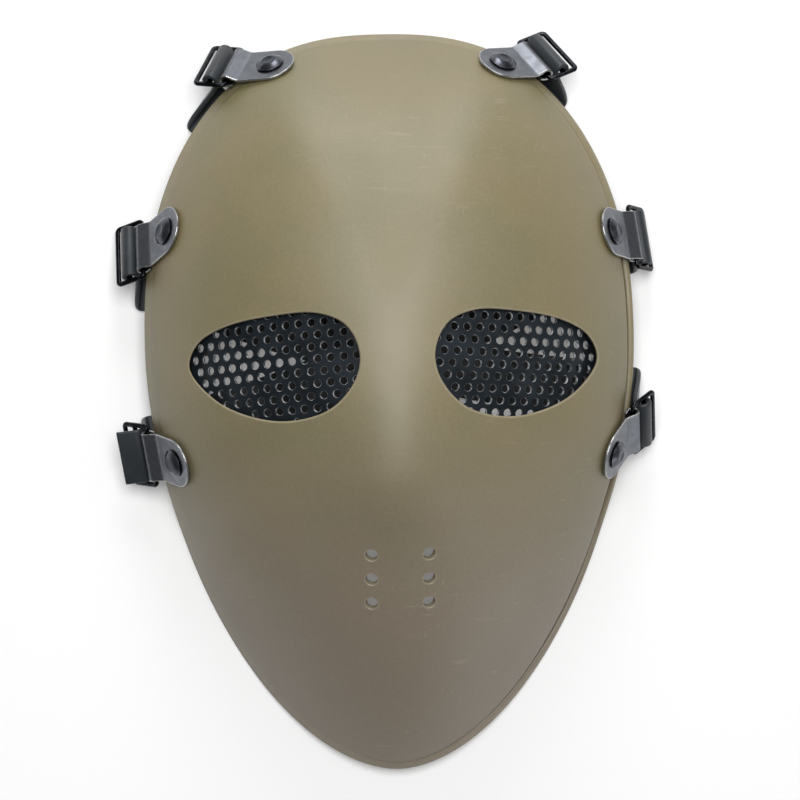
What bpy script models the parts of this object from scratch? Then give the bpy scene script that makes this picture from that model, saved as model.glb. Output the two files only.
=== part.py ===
"""A full face mask: moulded shell, eye screens, riveted tabs, slides and elastic straps.

Metres. The mask lies face up: +Z out of the face, +Y to the brow, +X to the viewer's right.
"""

from collections import namedtuple
from math import acos, asin, atan2, ceil, cos, degrees, exp, hypot, pi, radians, sin

import bpy
from mathutils import Matrix, Vector
from mathutils.geometry import delaunay_2d_cdt

# The face shell: its outline is two half superellipses that meet at the widest line
FACE_HEIGHT = 0.2690
FACE_WIDTH = 0.1776
WIDEST_ABOVE_CHIN = 0.1574
BROW_POWER = 2.25
CHIN_POWER = 1.82
DOME_HEIGHT = 0.0750
WALL = 0.0028
GROOVE_DEPTH = 0.0005
GROOVE_ABOVE_EDGE = 0.0020
GROOVE_RISE = 0.0010

# The ridge that grows down the forehead into the nose, and stops below its tip
NOSE_HEIGHT = 0.0070
NOSE_HALF_WIDTH = 0.0260
KEEL_TOP_BELOW_BROW = 0.0700
NOSE_TIP_ABOVE_CHIN = 0.1090
NOSE_DROP = 0.0220

# Eye windows, as places seen from the front, and the vents over the mouth
EYE_ACROSS = 0.0419
EYE_ABOVE_CHIN = 0.1470
EYE_HALF_LENGTH = 0.0295
EYE_HALF_HEIGHT = 0.0183
EYE_STEPS = 4
VENT_ACROSS = 0.0101
VENT_LOWEST_ABOVE_CHIN = 0.0638
VENT_PITCH = 0.0086
VENT_ROWS = 3
VENT_RADIUS = 0.00218
VENT_SIDES = 10

# Eye screens
SCREEN_THICKNESS = 0.0009
SCREEN_OVERLAP = 0.0045
SCREEN_GAP = 0.0005

# Metal tabs, their rivets and the slides that they hold
TAB_WIDTH = 0.0180
TAB_THICKNESS = 0.0010
TAB_GAP = 0.0003
TAB_FLAT = 0.0090
TAB_FLARE_RADIUS = 0.0040
TAB_FLARE_RUN = 0.0030
TAB_TUCK = 0.0022
CURL_SPARE = 0.0001
RIVET_HEAD_RADIUS = 0.0050
RIVET_HEAD_HEIGHT = 0.0022
RIVET_SHANK_RADIUS = 0.0018
RIVET_TAIL_RADIUS = 0.0034
RIVET_TAIL_HEIGHT = 0.0012
RIVET_TAIL_GAP = 0.0005
RIVET_SIDES = 12
CLEARANCE = 0.0003
BAR = 0.0018
SLIDE_THICKNESS = 0.0014
SLOT_SPARE = 0.0004

# Elastic webbing
STRAP_WIDTH = 0.0200
STRAP_THICKNESS = 0.0015
STRAP_TAIL = 0.0060
OPEN_TAIL = 0.0065
OPEN_TAIL_LIFT = radians(34)
STRAP_STEP = 0.0080
HUB_ABOVE_CHIN = 0.1560
GATE_STANDOFF = 0.0026

# Spacing of the shell's mesh
FILL_STEP = 0.066
RIM_SIDES = 96

# How far the dome has turned from level at its edge, from chin to brow round the crown in degrees
Tilt = namedtuple("Tilt", "polar value")
EDGE_TILTS = (Tilt(-90, 60), Tilt(-40, 80), Tilt(-25, 80), Tilt(20, 68), Tilt(90, 52))

# The edge's height over the table as shares of its highest, round the crown in the same way
EDGE_LIFT = 0.0150
Lift = namedtuple("Lift", "polar value")
RIM_LIFTS = (
    Lift(-90, 0.40),
    Lift(-60, 0),
    Lift(-45, 0),
    Lift(-26, 0.73),
    Lift(25, 0.87),
    Lift(62, 1),
    Lift(90, 0),
)

# The right window's outline from its centre, counter-clockwise from its outer end, as shares of
# its half length and half height
EyePoint = namedtuple("EyePoint", "outward up")
EYE_OUTLINE = (
    EyePoint(1.02, 0.03),
    EyePoint(0.91, 0.48),
    EyePoint(0.58, 0.78),
    EyePoint(0.00, 0.96),
    EyePoint(-0.51, 0.98),
    EyePoint(-0.83, 0.74),
    EyePoint(-0.98, 0.22),
    EyePoint(-0.92, -0.30),
    EyePoint(-0.63, -0.82),
    EyePoint(-0.15, -1.03),
    EyePoint(0.32, -0.92),
    EyePoint(0.74, -0.57),
)

# Where the harness is riveted: polar angle on the face, share of the way from crown to edge, turn
# of the tab to the chin, its bend away from the face, lift of the slide from the tab's flat end,
# and where the strap passes the edge
Station = namedtuple("Station", "name side polar share swivel flare slide_turn gate open_tail")
STATIONS = {
    station.name: station
    for station in (
        Station("brow_left", -1, 67.3, 0.965, 60, 30, 10, 53.0, False),
        Station("brow_right", 1, 66.5, 0.965, 48, 30, 22, 57.0, False),
        Station("temple_left", -1, 26.3, 0.940, 30, 36, 24, 14.0, False),
        Station("temple_right", 1, 24.2, 0.940, 12, 36, 4, 20.0, False),
        Station("cheek_left", -1, -29.1, 0.930, -20, 38, 16, -23.0, True),
        Station("cheek_right", 1, -29.1, 0.945, -46, 32, 16, -14.5, False),
    )
}

# Straps, lowest at the crossing first
Band = namedtuple("Band", "name left right")
BANDS = (
    Band("strap_across_temples", "temple_left", "temple_right"),
    Band("strap_left_brow_to_right_cheek", "brow_left", "cheek_right"),
    Band("strap_right_brow_to_left_cheek", "cheek_left", "brow_right"),
)

# Sizes that follow from those above
CHIN_Y = -FACE_HEIGHT / 2
CROWN_Y = CHIN_Y + WIDEST_ABOVE_CHIN
HALF_WIDTH = FACE_WIDTH / 2
CHIN_REACH = WIDEST_ABOVE_CHIN
BROW_REACH = FACE_HEIGHT - WIDEST_ABOVE_CHIN
TAB_HOLE_RADIUS = RIVET_SHANK_RADIUS + CLEARANCE
SHELL_HOLE_RADIUS = RIVET_SHANK_RADIUS + 2 * CLEARANCE
BAR_REACH = hypot(BAR, SLIDE_THICKNESS) / 2
CURL_RADIUS = BAR_REACH + CLEARANCE + TAB_THICKNESS / 2
WRAP_RADIUS = BAR_REACH + CLEARANCE + STRAP_THICKNESS / 2
MIDDLE_BAR = CURL_RADIUS + TAB_THICKNESS / 2 + SLOT_SPARE + STRAP_THICKNESS / 2 + WRAP_RADIUS
OUTER_BAR = MIDDLE_BAR + WRAP_RADIUS + STRAP_THICKNESS / 2 + 3 * SLOT_SPARE + BAR / 2
SLIDE_INNER_HALF = max(STRAP_WIDTH, TAB_WIDTH) / 2 + SLOT_SPARE
FLOOR_LEVEL = CLEARANCE + STRAP_THICKNESS / 2
HUB_FLAT = 1.65 * STRAP_WIDTH
HUB_RAMP = STRAP_WIDTH


def eased(low, high, share):
    """A smooth step from one value to another."""
    share = min(max(share, 0), 1)
    return low + (high - low) * (1 - cos(pi * share)) / 2


def material(name, colour, roughness, metallic=0.0):
    """One plain finish."""
    finish = bpy.data.materials.new(name)
    finish.use_nodes = True
    shader = finish.node_tree.nodes["Principled BSDF"]
    shader.inputs["Base Color"].default_value = (*colour, 1)
    shader.inputs["Roughness"].default_value = roughness
    shader.inputs["Metallic"].default_value = metallic
    return finish


def add_object(name, mesh, finish, place=None):
    """Put a mesh in the scene with its finish."""
    if not mesh.materials:
        mesh.materials.append(finish)
    item = bpy.data.objects.new(name, mesh)
    if place:
        item.matrix_world = place
    bpy.context.collection.objects.link(item)
    return item


def smooth_mesh(name, points, faces):
    """A mesh whose round stretches are shaded smooth."""
    mesh = bpy.data.meshes.new(name)
    mesh.from_pydata(points, [], faces)
    mesh.shade_smooth()
    mesh.set_sharp_from_angle(angle=radians(40))
    return mesh


def inside(point, loop):
    """Whether a flat point lies in a flat loop."""
    crossings = False
    for start, end in zip(loop, loop[1:] + loop[:1]):
        if (start[1] > point[1]) != (end[1] > point[1]):
            share = (point[1] - start[1]) / (end[1] - start[1])
            if point[0] < start[0] + share * (end[0] - start[0]):
                crossings = not crossings
    return crossings


def wall_mesh(name, outline, holes, fill, front, back, creases=()):
    """Fill a flat outline with triangles and close the wall between two surfaces over it."""
    points, edges = [], []
    for crease in creases:
        edges.append((len(points), len(points) + 1))
        points += crease
    for loop in [outline, *holes]:
        first = len(points)
        points += loop
        edges += [(first + i, first + (i + 1) % len(loop)) for i in range(len(loop))]
    flat, _, triangles, *_ = delaunay_2d_cdt(points + fill, edges, [], 0, 1e-7)
    kept = []
    for triangle in triangles:
        centre = sum((flat[i] for i in triangle), Vector((0, 0))) / 3
        if inside(centre, outline) and not any(inside(centre, hole) for hole in holes):
            kept.append(tuple(triangle))
    used = sorted({i for triangle in kept for i in triangle})
    number = {old: new for new, old in enumerate(used)}
    kept = [tuple(number[i] for i in triangle) for triangle in kept]
    count = len(used)
    verts = [front(*flat[i]) for i in used] + [back(*flat[i]) for i in used]
    faces = kept + [tuple(i + count for i in reversed(triangle)) for triangle in kept]
    directed = {(t[i], t[(i + 1) % 3]) for t in kept for i in range(3)}
    for start, end in sorted(directed):
        if (end, start) not in directed:
            faces.append((end, start, start + count, end + count))
    return smooth_mesh(name, verts, faces)


def turned_mesh(name, profile, sides):
    """Turn a profile of radius and height about Z; its first and last points are on the axis."""
    points = [(0, 0, profile[0].height)]
    for row in profile[1:-1]:
        for i in range(sides):
            angle = 2 * pi * i / sides
            points.append((row.radius * cos(angle), row.radius * sin(angle), row.height))
    points.append((0, 0, profile[-1].height))
    rings = len(profile) - 2
    last = len(points) - 1
    faces = []
    for i in range(sides):
        j = (i + 1) % sides
        faces.append((0, 1 + j, 1 + i))
        for ring in range(rings - 1):
            low, high = 1 + ring * sides, 1 + (ring + 1) * sides
            faces.append((low + i, low + j, high + j, high + i))
        top = 1 + (rings - 1) * sides
        faces.append((top + i, top + j, last))
    return smooth_mesh(name, points, faces)


def spline(knots, step, closed=False):
    """A smooth curve through points, as centripetal cubic pieces, sampled at about a step."""
    count = len(knots)
    pieces = count if closed else count - 1
    curve = []
    for i in range(pieces):
        p1, p2 = knots[i], knots[(i + 1) % count]
        p0 = knots[i - 1] if closed or i else 2 * p1 - p2
        p3 = knots[(i + 2) % count] if closed or i + 2 < count else 2 * p2 - p1
        gaps = [max((b - a).length, 1e-9) ** 0.5 for a, b in ((p0, p1), (p1, p2), (p2, p3))]
        out = (p1 - p0) / gaps[0] - (p2 - p0) / (gaps[0] + gaps[1]) + (p2 - p1) / gaps[1]
        into = (p2 - p1) / gaps[1] - (p3 - p1) / (gaps[1] + gaps[2]) + (p3 - p2) / gaps[2]
        out, into = out * gaps[1], into * gaps[1]
        samples = max(1, ceil((p2 - p1).length / step))
        for j in range(samples):
            t = j / samples
            curve.append(
                p1 * (2 * t**3 - 3 * t**2 + 1)
                + out * (t**3 - 2 * t**2 + t)
                + p2 * (3 * t**2 - 2 * t**3)
                + into * (t**3 - t**2)
            )
    if not closed:
        curve.append(knots[-1].copy())
    return curve


def reach(angle):
    """Distance seen from the front between the crown of the dome and its wall."""
    along, up = abs(cos(angle)), sin(angle)
    far = eased(CHIN_REACH, BROW_REACH, up + 0.5)
    power = eased(CHIN_POWER, BROW_POWER, up + 0.5)
    return ((along / HALF_WIDTH) ** power + (abs(up) / far) ** power) ** (-1 / power)


def round_crown(rows, angle):
    """A value that changes smoothly round the crown, from rows of polar angle and value."""
    polar = degrees(asin(sin(angle)))
    for low, high in zip(rows, rows[1:]):
        if polar <= high.polar:
            return eased(low.value, high.value, (polar - low.polar) / (high.polar - low.polar))
    return rows[-1].value


def edge_tilt(angle):
    """How far the dome has turned at its edge."""
    return radians(round_crown(EDGE_TILTS, angle))


def rim_lift(angle):
    """Height of the edge over the table."""
    return EDGE_LIFT * round_crown(RIM_LIFTS, angle)


def nose(x, y):
    """How far the ridge stands out of the dome."""
    top, tip = -CHIN_Y - KEEL_TOP_BELOW_BROW, CHIN_Y + NOSE_TIP_ABOVE_CHIN
    along = eased(0, 1, (top - y) / (top - tip)) if y > tip else exp(-(((tip - y) / NOSE_DROP) ** 2))
    return NOSE_HEIGHT * along * exp(-((x / NOSE_HALF_WIDTH) ** 2))


def dome_point(u, v):
    """The shell's outside without its lip: the unit disc is laid over the face."""
    angle = atan2(v, u)
    edge = edge_tilt(angle)
    tilt = hypot(u, v) * edge
    spread = reach(angle) * sin(tilt) / sin(edge)
    x, y = spread * cos(angle), CROWN_Y + spread * sin(angle)
    fall = (1 - cos(tilt)) / (1 - cos(edge))
    z = DOME_HEIGHT + (rim_lift(angle) - DOME_HEIGHT) * fall + nose(x, y)
    return Vector((x, y, z))


def dome_normal(u, v):
    """Unit vector out of the face."""
    step = 0.002
    along_u = dome_point(u + step, v) - dome_point(u - step, v)
    along_v = dome_point(u, v + step) - dome_point(u, v - step)
    return along_u.cross(along_v).normalized()


def dome_at(u, v, depth):
    """A point at a depth below the shell's outside."""
    return dome_point(u, v) - dome_normal(u, v) * depth


def disc_at(angle, share):
    """The point of the disc at a polar angle and a share of the way to the edge in plan."""
    edge = edge_tilt(angle)
    radius = asin(min(share, 1) * sin(edge)) / edge
    return Vector((radius * cos(angle), radius * sin(angle)))


def to_disc(x, y):
    """The point of the disc whose shell point is seen from the front at x, y."""
    angle = atan2(y - CROWN_Y, x)
    return disc_at(angle, hypot(x, y - CROWN_Y) / reach(angle))


def ring_point(angle, height):
    """The point of the disc at a height over the edge."""
    edge = edge_tilt(angle)
    share = height / (DOME_HEIGHT - rim_lift(angle))
    radius = acos(cos(edge) + (1 - cos(edge)) * share) / edge
    return Vector((radius * cos(angle), radius * sin(angle)))


def shell_outside(u, v):
    """The outside with the groove that runs round the edge."""
    height = dome_point(u, v).z - rim_lift(atan2(v, u))
    away = abs(height - GROOVE_ABOVE_EDGE) / GROOVE_RISE
    return dome_at(u, v, GROOVE_DEPTH * max(0, 1 - away))


def shell_inside(u, v):
    """The inside, cut level at the edge."""
    if hypot(u, v) < 1 - 1e-6:
        return dome_at(u, v, WALL)
    level = dome_normal(u, v)
    level.z = 0
    return dome_point(u, v) - level * WALL / level.length_squared


def round_hole(spot, radius, sides):
    """A loop in the disc whose image is a round hole square to the shell."""
    centre, normal = dome_point(*spot), dome_normal(*spot)
    across = normal.orthogonal().normalized()
    other = normal.cross(across)
    loop = []
    for i in range(sides):
        angle = 2 * pi * i / sides
        point = centre + (across * cos(angle) + other * sin(angle)) * radius
        loop.append(to_disc(point.x, point.y))
    return loop


def eye_loop(side, margin):
    """A window's outline in the disc, widened all round by a margin."""
    flat = [
        Vector((side * point.outward * EYE_HALF_LENGTH, point.up * EYE_HALF_HEIGHT))
        for point in EYE_OUTLINE
    ]
    curve = spline(flat, EYE_HALF_LENGTH / EYE_STEPS, closed=True)
    centre = Vector((side * EYE_ACROSS, CHIN_Y + EYE_ABOVE_CHIN))
    loop = []
    for i, point in enumerate(curve):
        tangent = curve[(i + 1) % len(curve)] - curve[i - 1]
        outward = Vector((tangent.y, -tangent.x)).normalized() * side
        place = centre + point + outward * margin
        loop.append(to_disc(place.x, place.y))
    return loop


def disc_fill(radii, step, keep):
    """Points over the disc on rings, staggered from ring to ring."""
    points = []
    for ring, radius in enumerate(radii):
        count = max(1, round(2 * pi * radius / step))
        for i in range(count):
            angle = 2 * pi * (i + ring % 2 / 2) / count
            point = Vector((radius * cos(angle), radius * sin(angle)))
            if keep(point):
                points.append(point)
    return points


def clear_of(loops, distance):
    """A test that a point isn't in or near any of the loops."""

    def keep(point):
        for loop in loops:
            if inside(point, loop) or min((point - spot).length for spot in loop) < distance:
                return False
        return True

    return keep


def make_shell(finish):
    """The moulded face with its windows, vents and rivet holes."""
    vents = [
        to_disc(side * VENT_ACROSS, CHIN_Y + VENT_LOWEST_ABOVE_CHIN + row * VENT_PITCH)
        for side in (-1, 1)
        for row in range(VENT_ROWS)
    ]
    holes = [eye_loop(side, 0) for side in (-1, 1)]
    holes += [round_hole(spot, VENT_RADIUS, VENT_SIDES) for spot in vents]
    spots = [station_spot(station) for station in STATIONS.values()]
    holes += [round_hole(spot, SHELL_HOLE_RADIUS, RIVET_SIDES) for spot in spots]
    rim = [2 * pi * i / RIM_SIDES for i in range(RIM_SIDES)]
    outline = [Vector((cos(angle), sin(angle))) for angle in rim]
    heights = (GROOVE_ABOVE_EDGE, GROOVE_ABOVE_EDGE + GROOVE_RISE)
    rows = [ring_point(angle, height) for height in heights for angle in rim]
    widest = min(point.length for point in rows) - FILL_STEP / 2
    rings = ceil(widest / FILL_STEP)
    radii = [widest * i / rings for i in range(rings + 1)]
    fill = [point for point in rows if clear_of(holes, FILL_STEP / 8)(point)]
    fill += disc_fill(radii, FILL_STEP, clear_of(holes, FILL_STEP * 0.45))
    fill += [point for spot in spots for point in round_hole(spot, RIVET_HEAD_RADIUS, RIVET_SIDES)]
    mesh = wall_mesh("mask_shell", outline, holes, fill, shell_outside, shell_inside)
    add_object("mask_shell", mesh, finish)


def make_screen(name, side, finish):
    """A curved sheet behind one window, following the shell's inside."""
    outline = eye_loop(side, SCREEN_OVERLAP)
    rings = ceil(1 / FILL_STEP)
    fill = [
        point
        for point in disc_fill([i / rings for i in range(rings)], FILL_STEP, lambda point: True)
        if inside(point, outline) and clear_of([[spot] for spot in outline], FILL_STEP / 3)(point)
    ]
    outer, inner = WALL + SCREEN_GAP, WALL + SCREEN_GAP + SCREEN_THICKNESS
    mesh = wall_mesh(
        name,
        outline,
        [],
        fill,
        lambda u, v: dome_at(u, v, outer),
        lambda u, v: dome_at(u, v, inner),
    )
    add_object(name, mesh, finish)


def station_spot(station):
    """The rivet's place on the disc."""
    spot = disc_at(radians(station.polar), station.share)
    return Vector((station.side * spot.x, spot.y))


def frame(along, across, up, origin):
    """A placing whose X, Y and Z are the three directions."""
    turn = Matrix((along, across, up)).transposed()
    return Matrix.Translation(origin) @ turn.to_4x4()


def station_frame(station):
    """X down the tab, Y across it and Z out of the shell, from the rivet's place."""
    spot = station_spot(station)
    normal = dome_normal(*spot)
    down = (normal * normal.z - Vector((0, 0, 1))).normalized()
    chinward = down.cross(normal) * station.side
    swivel = radians(station.swivel)
    along = down * cos(swivel) + chinward * sin(swivel)
    return frame(along, normal.cross(along), normal, dome_point(*spot))


Run = namedtuple("Run", "length turn")


def tab_runs(station):
    """The tab's middle line past the rivet, as straight runs and arcs; a turn up is positive."""
    flare = radians(station.flare)
    curl = flare + pi
    return (
        Run(TAB_FLAT, 0),
        Run(TAB_FLARE_RADIUS * flare, flare),
        Run(TAB_FLARE_RUN, 0),
        Run(CURL_RADIUS * curl, -curl),
        Run(TAB_TUCK, 0),
    )


def along_runs(runs, distance):
    """Place forward and up, and heading, at a distance along the runs."""
    x, z, heading = 0.0, 0.0, 0.0
    for i, run in enumerate(runs):
        length = min(distance, run.length) if i < len(runs) - 1 else distance
        turn = run.turn * length / run.length
        if turn:
            radius = length / turn
            x += radius * (sin(heading + turn) - sin(heading))
            z += radius * (cos(heading) - cos(heading + turn))
        else:
            x += length * cos(heading)
            z += length * sin(heading)
        heading += turn
        distance -= length
        if distance <= 0:
            break
    return x, z, heading


def tab_level():
    """Height of the tab's middle line over the shell."""
    return TAB_GAP + TAB_THICKNESS / 2


def curl_centre(station):
    """The slide's inner bar in the tab's frame."""
    runs = tab_runs(station)
    x, z, heading = along_runs(runs, sum(run.length for run in runs[:3]))
    return x + CURL_RADIUS * sin(heading), z - CURL_RADIUS * cos(heading) + tab_level()


def shell_gap(point):
    """Distance from the shell's outside, or past its edge; below zero inside it."""
    angle = atan2(point.y - CROWN_Y, point.x)
    past = hypot(point.x, point.y - CROWN_Y) - reach(angle)
    spot = disc_at(angle, 1 + past / reach(angle))
    return max(past, (point - dome_point(*spot)).dot(dome_normal(*spot)))


def bent_clear(station):
    """The station with its tab bent up further where its curl would meet the shell."""
    place = station_frame(station)
    for flare in range(station.flare, 90, 2):
        bent = station._replace(flare=flare)
        runs = tab_runs(bent)
        length = sum(run.length for run in runs)
        gaps = []
        for i in range(12):
            x, z, heading = along_runs(runs, length - i * CURL_RADIUS / 2)
            x, z = x - TAB_THICKNESS / 2 * sin(heading), z + TAB_THICKNESS / 2 * cos(heading)
            for across in (-TAB_WIDTH / 2, TAB_WIDTH / 2):
                gaps.append(shell_gap(place @ Vector((x, across, z + tab_level()))))
        if min(gaps) > CURL_SPARE:
            break
    return bent


def tab_mesh(station):
    """A round-ended plate, bent up and curled round the slide's inner bar."""
    runs = tab_runs(station)
    half, level = TAB_WIDTH / 2, tab_level()
    marks, total = [0.0], 0.0
    for run in runs:
        steps = max(1, round(abs(run.turn) / radians(26)))
        marks += [total + run.length * (i + 1) / steps for i in range(steps)]
        total += run.length
    turns = [pi / 2 + pi * i / 8 for i in range(1, 8)]
    outline = [Vector((mark, -half)) for mark in marks]
    outline += [Vector((mark, half)) for mark in reversed(marks)]
    outline += [Vector((half * cos(turn), half * sin(turn))) for turn in turns]
    angles = [2 * pi * i / RIVET_SIDES for i in range(RIVET_SIDES)]
    hole = [Vector((cos(angle), sin(angle))) * TAB_HOLE_RADIUS for angle in angles]

    def face(offset):
        def place(u, v):
            x, z, heading = along_runs(runs, u) if u > 0 else (u, 0.0, 0.0)
            return Vector((x - offset * sin(heading), v, level + z + offset * cos(heading)))

        return place

    creases = [(Vector((mark, -half)), Vector((mark, half))) for mark in marks[1:-1]]
    top, bottom = face(TAB_THICKNESS / 2), face(-TAB_THICKNESS / 2)
    return wall_mesh("tab_" + station.name, outline, [hole], [], top, bottom, creases)


RivetRow = namedtuple("RivetRow", "radius height")


def rivet_mesh():
    """A domed head over the tab, a shank through tab and shell, and a flat tail inside."""
    seat = TAB_GAP + TAB_THICKNESS + CLEARANCE
    under = -(WALL + RIVET_TAIL_GAP)
    profile = (
        RivetRow(0, under - RIVET_TAIL_HEIGHT),
        RivetRow(RIVET_TAIL_RADIUS, under - RIVET_TAIL_HEIGHT),
        RivetRow(RIVET_TAIL_RADIUS, under),
        RivetRow(RIVET_SHANK_RADIUS, under),
        RivetRow(RIVET_SHANK_RADIUS, seat),
        RivetRow(RIVET_HEAD_RADIUS, seat),
        RivetRow(RIVET_HEAD_RADIUS * 0.94, seat + RIVET_HEAD_HEIGHT * 0.36),
        RivetRow(RIVET_HEAD_RADIUS * 0.62, seat + RIVET_HEAD_HEIGHT * 0.84),
        RivetRow(0, seat + RIVET_HEAD_HEIGHT),
    )
    return turned_mesh("rivet", profile, RIVET_SIDES)


def slide_frame(station):
    """X from the slide's inner bar to its outer bar, Y along the bars, Z out of its face."""
    tab = station_frame(station)
    x, z = curl_centre(station)
    turn = Matrix.Rotation(-radians(station.slide_turn), 4, "Y")
    return tab @ Matrix.Translation((x, 0, z)) @ turn


def rounded_loop(low, high, half, corner, steps):
    """A rectangle with round corners, counter-clockwise, from low to high and half each side."""
    loop = []
    for x, y, start in (
        (high - corner, half - corner, 0),
        (low + corner, half - corner, pi / 2),
        (low + corner, corner - half, pi),
        (high - corner, corner - half, 3 * pi / 2),
    ):
        for i in range(steps + 1):
            angle = start + pi / 2 * i / steps
            loop.append(Vector((x + corner * cos(angle), y + corner * sin(angle))))
    return loop


def slide_mesh():
    """A rectangular wire frame with a middle bar."""
    half = SLIDE_INNER_HALF + BAR
    outline = rounded_loop(-BAR / 2, OUTER_BAR + BAR / 2, half, BAR, 3)
    slots = [
        rounded_loop(low + BAR / 2, high - BAR / 2, SLIDE_INNER_HALF, BAR / 4, 1)
        for low, high in ((0, MIDDLE_BAR), (MIDDLE_BAR, OUTER_BAR))
    ]
    up = SLIDE_THICKNESS / 2
    return wall_mesh(
        "slide",
        outline,
        slots,
        [],
        lambda u, v: Vector((u, v, up)),
        lambda u, v: Vector((u, v, -up)),
    )


Row = namedtuple("Row", "centre across")


def gate(station):
    """The edge's wall where the strap passes, its outward direction and its brow-ward one."""
    angle = radians(station.gate)
    u, v = station.side * cos(angle), sin(angle)
    outward = dome_normal(u, v)
    outward.z = 0
    outward.normalize()
    browward = Vector((-outward.y, outward.x, 0)) * station.side
    return dome_point(u, v), outward, browward


def strap_end(station):
    """Rows of the strap from its end, over the slide's middle bar and down under the edge."""
    place = slide_frame(station)
    along, across, up = (place.col[i].to_3d() for i in range(3))
    bar = place @ Vector((MIDDLE_BAR, 0, 0))
    across = across * station.side
    wall, outward, browward = gate(station)
    if station.open_tail:
        start = pi / 2 + OPEN_TAIL_LIFT
        first = bar + (along * cos(start) + up * sin(start)) * WRAP_RADIUS
        heading = along * sin(start) - up * cos(start)
        rows = [Row(first + heading * OPEN_TAIL, across)]
    else:
        first = bar + along * WRAP_RADIUS
        bend = first - up * STRAP_THICKNESS
        lowest = FLOOR_LEVEL + abs(across.z) * STRAP_WIDTH / 2
        drop = min(STRAP_TAIL, bend.z - lowest)
        rows = [Row(bend - Vector((0, 0, drop)), across), Row(bend, across)]
        start = 0
    turns = 4 if station.open_tail else 7
    for i in range(turns + 1):
        angle = start + (pi - start) * i / turns
        rows.append(Row(bar + (along * cos(angle) + up * sin(angle)) * WRAP_RADIUS, across))
    leg = rows[-1].centre - up * BAR
    standoff = wall + outward * GATE_STANDOFF
    standoff.z = FLOOR_LEVEL * 1.6
    under = wall - outward * WALL / 2
    under.z = FLOOR_LEVEL
    knots = [rows[-1].centre, leg, standoff, under]
    curve = spline(knots, STRAP_STEP / 3)[1:]
    top, fall = rows[-1].centre.z, rows[-1].centre.z - standoff.z
    for centre in curve:
        share = min(max((top - centre.z) / fall, 0), 1)
        rows.append(Row(centre, (across * (1 - share) + browward * share).normalized()))
    return rows


def strap_rows(band, level):
    """The whole strap: one end, the run behind the face over the crossing, the other end."""
    left, right = strap_end(STATIONS[band.left]), strap_end(STATIONS[band.right])
    hub = Vector((0, CHIN_Y + HUB_ABOVE_CHIN, FLOOR_LEVEL))
    knots = [left[-1].centre, hub, right[-1].centre]
    run = spline(knots, STRAP_STEP)
    rows = []
    for i, point in enumerate(run[1:-1], 1):
        near = eased(1, 0, ((point - hub).length - HUB_FLAT) / HUB_RAMP)
        rise = Vector((0, 0, level * (STRAP_THICKNESS + CLEARANCE) * near))
        ahead = (run[i + 1] - run[i - 1]).normalized()
        square = Vector((-ahead.y, ahead.x, 0))
        for end in (left[-1], right[-1]):
            share = eased(1, 0, (point - end.centre).length / (STRAP_WIDTH * 1.5))
            square = square * (1 - share) + end.across * share
        rows.append(Row(point + rise, square.normalized()))
    return left + rows + right[::-1]


def strap_mesh(name, rows):
    """A flat band through the rows, closed at both ends."""
    points = []
    for i, row in enumerate(rows):
        ahead = rows[min(i + 1, len(rows) - 1)].centre - rows[max(i - 1, 0)].centre
        thick = ahead.cross(row.across).normalized() * STRAP_THICKNESS / 2
        side = row.across * STRAP_WIDTH / 2
        points += [
            row.centre - side - thick,
            row.centre + side - thick,
            row.centre + side + thick,
            row.centre - side + thick,
        ]
    faces = [(3, 2, 1, 0)]
    for i in range(len(rows) - 1):
        for j in range(4):
            k = (j + 1) % 4
            faces.append((4 * i + j, 4 * i + k, 4 * i + 4 + k, 4 * i + 4 + j))
    end = 4 * (len(rows) - 1)
    faces.append((end, end + 1, end + 2, end + 3))
    return smooth_mesh(name, points, faces)


def main():
    """Clear the scene and build the mask."""
    for item in list(bpy.data.objects):
        bpy.data.objects.remove(item, do_unlink=True)
    plastic = material("tan plastic", (0.24, 0.20, 0.12), 0.55)
    screen = material("black perforated steel", (0.02, 0.02, 0.022), 0.35)
    tab_metal = material("grey tab metal", (0.32, 0.33, 0.34), 0.35, 1.0)
    rivet_metal = material("dark rivet metal", (0.18, 0.18, 0.20), 0.35, 1.0)
    slide_metal = material("dark slide metal", (0.16, 0.16, 0.17), 0.3, 1.0)
    webbing = material("black elastic", (0.02, 0.02, 0.022), 0.9)
    for name, station in STATIONS.items():
        STATIONS[name] = bent_clear(station)
    make_shell(plastic)
    make_screen("eye_screen_left", -1, screen)
    make_screen("eye_screen_right", 1, screen)
    rivet, slide = rivet_mesh(), slide_mesh()
    for station in STATIONS.values():
        place = station_frame(station)
        add_object("tab_" + station.name, tab_mesh(station), tab_metal, place)
        add_object("rivet_" + station.name, rivet, rivet_metal, place)
        add_object("slide_" + station.name, slide, slide_metal, slide_frame(station))
    for level, band in enumerate(BANDS):
        add_object(band.name, strap_mesh(band.name, strap_rows(band, level)), webbing)


main()
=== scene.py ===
"""A full face mask lying face up: moulded shell, perforated screens and strap harness."""

from collections import namedtuple
from functools import partial
from math import asin, atan2, ceil, cos, degrees, exp, hypot, pi, radians, sin, tan

import bpy
from bpy.props import FloatProperty, FloatVectorProperty, IntProperty, PointerProperty
from mathutils import Matrix, Vector
from mathutils.geometry import delaunay_2d_cdt


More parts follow.
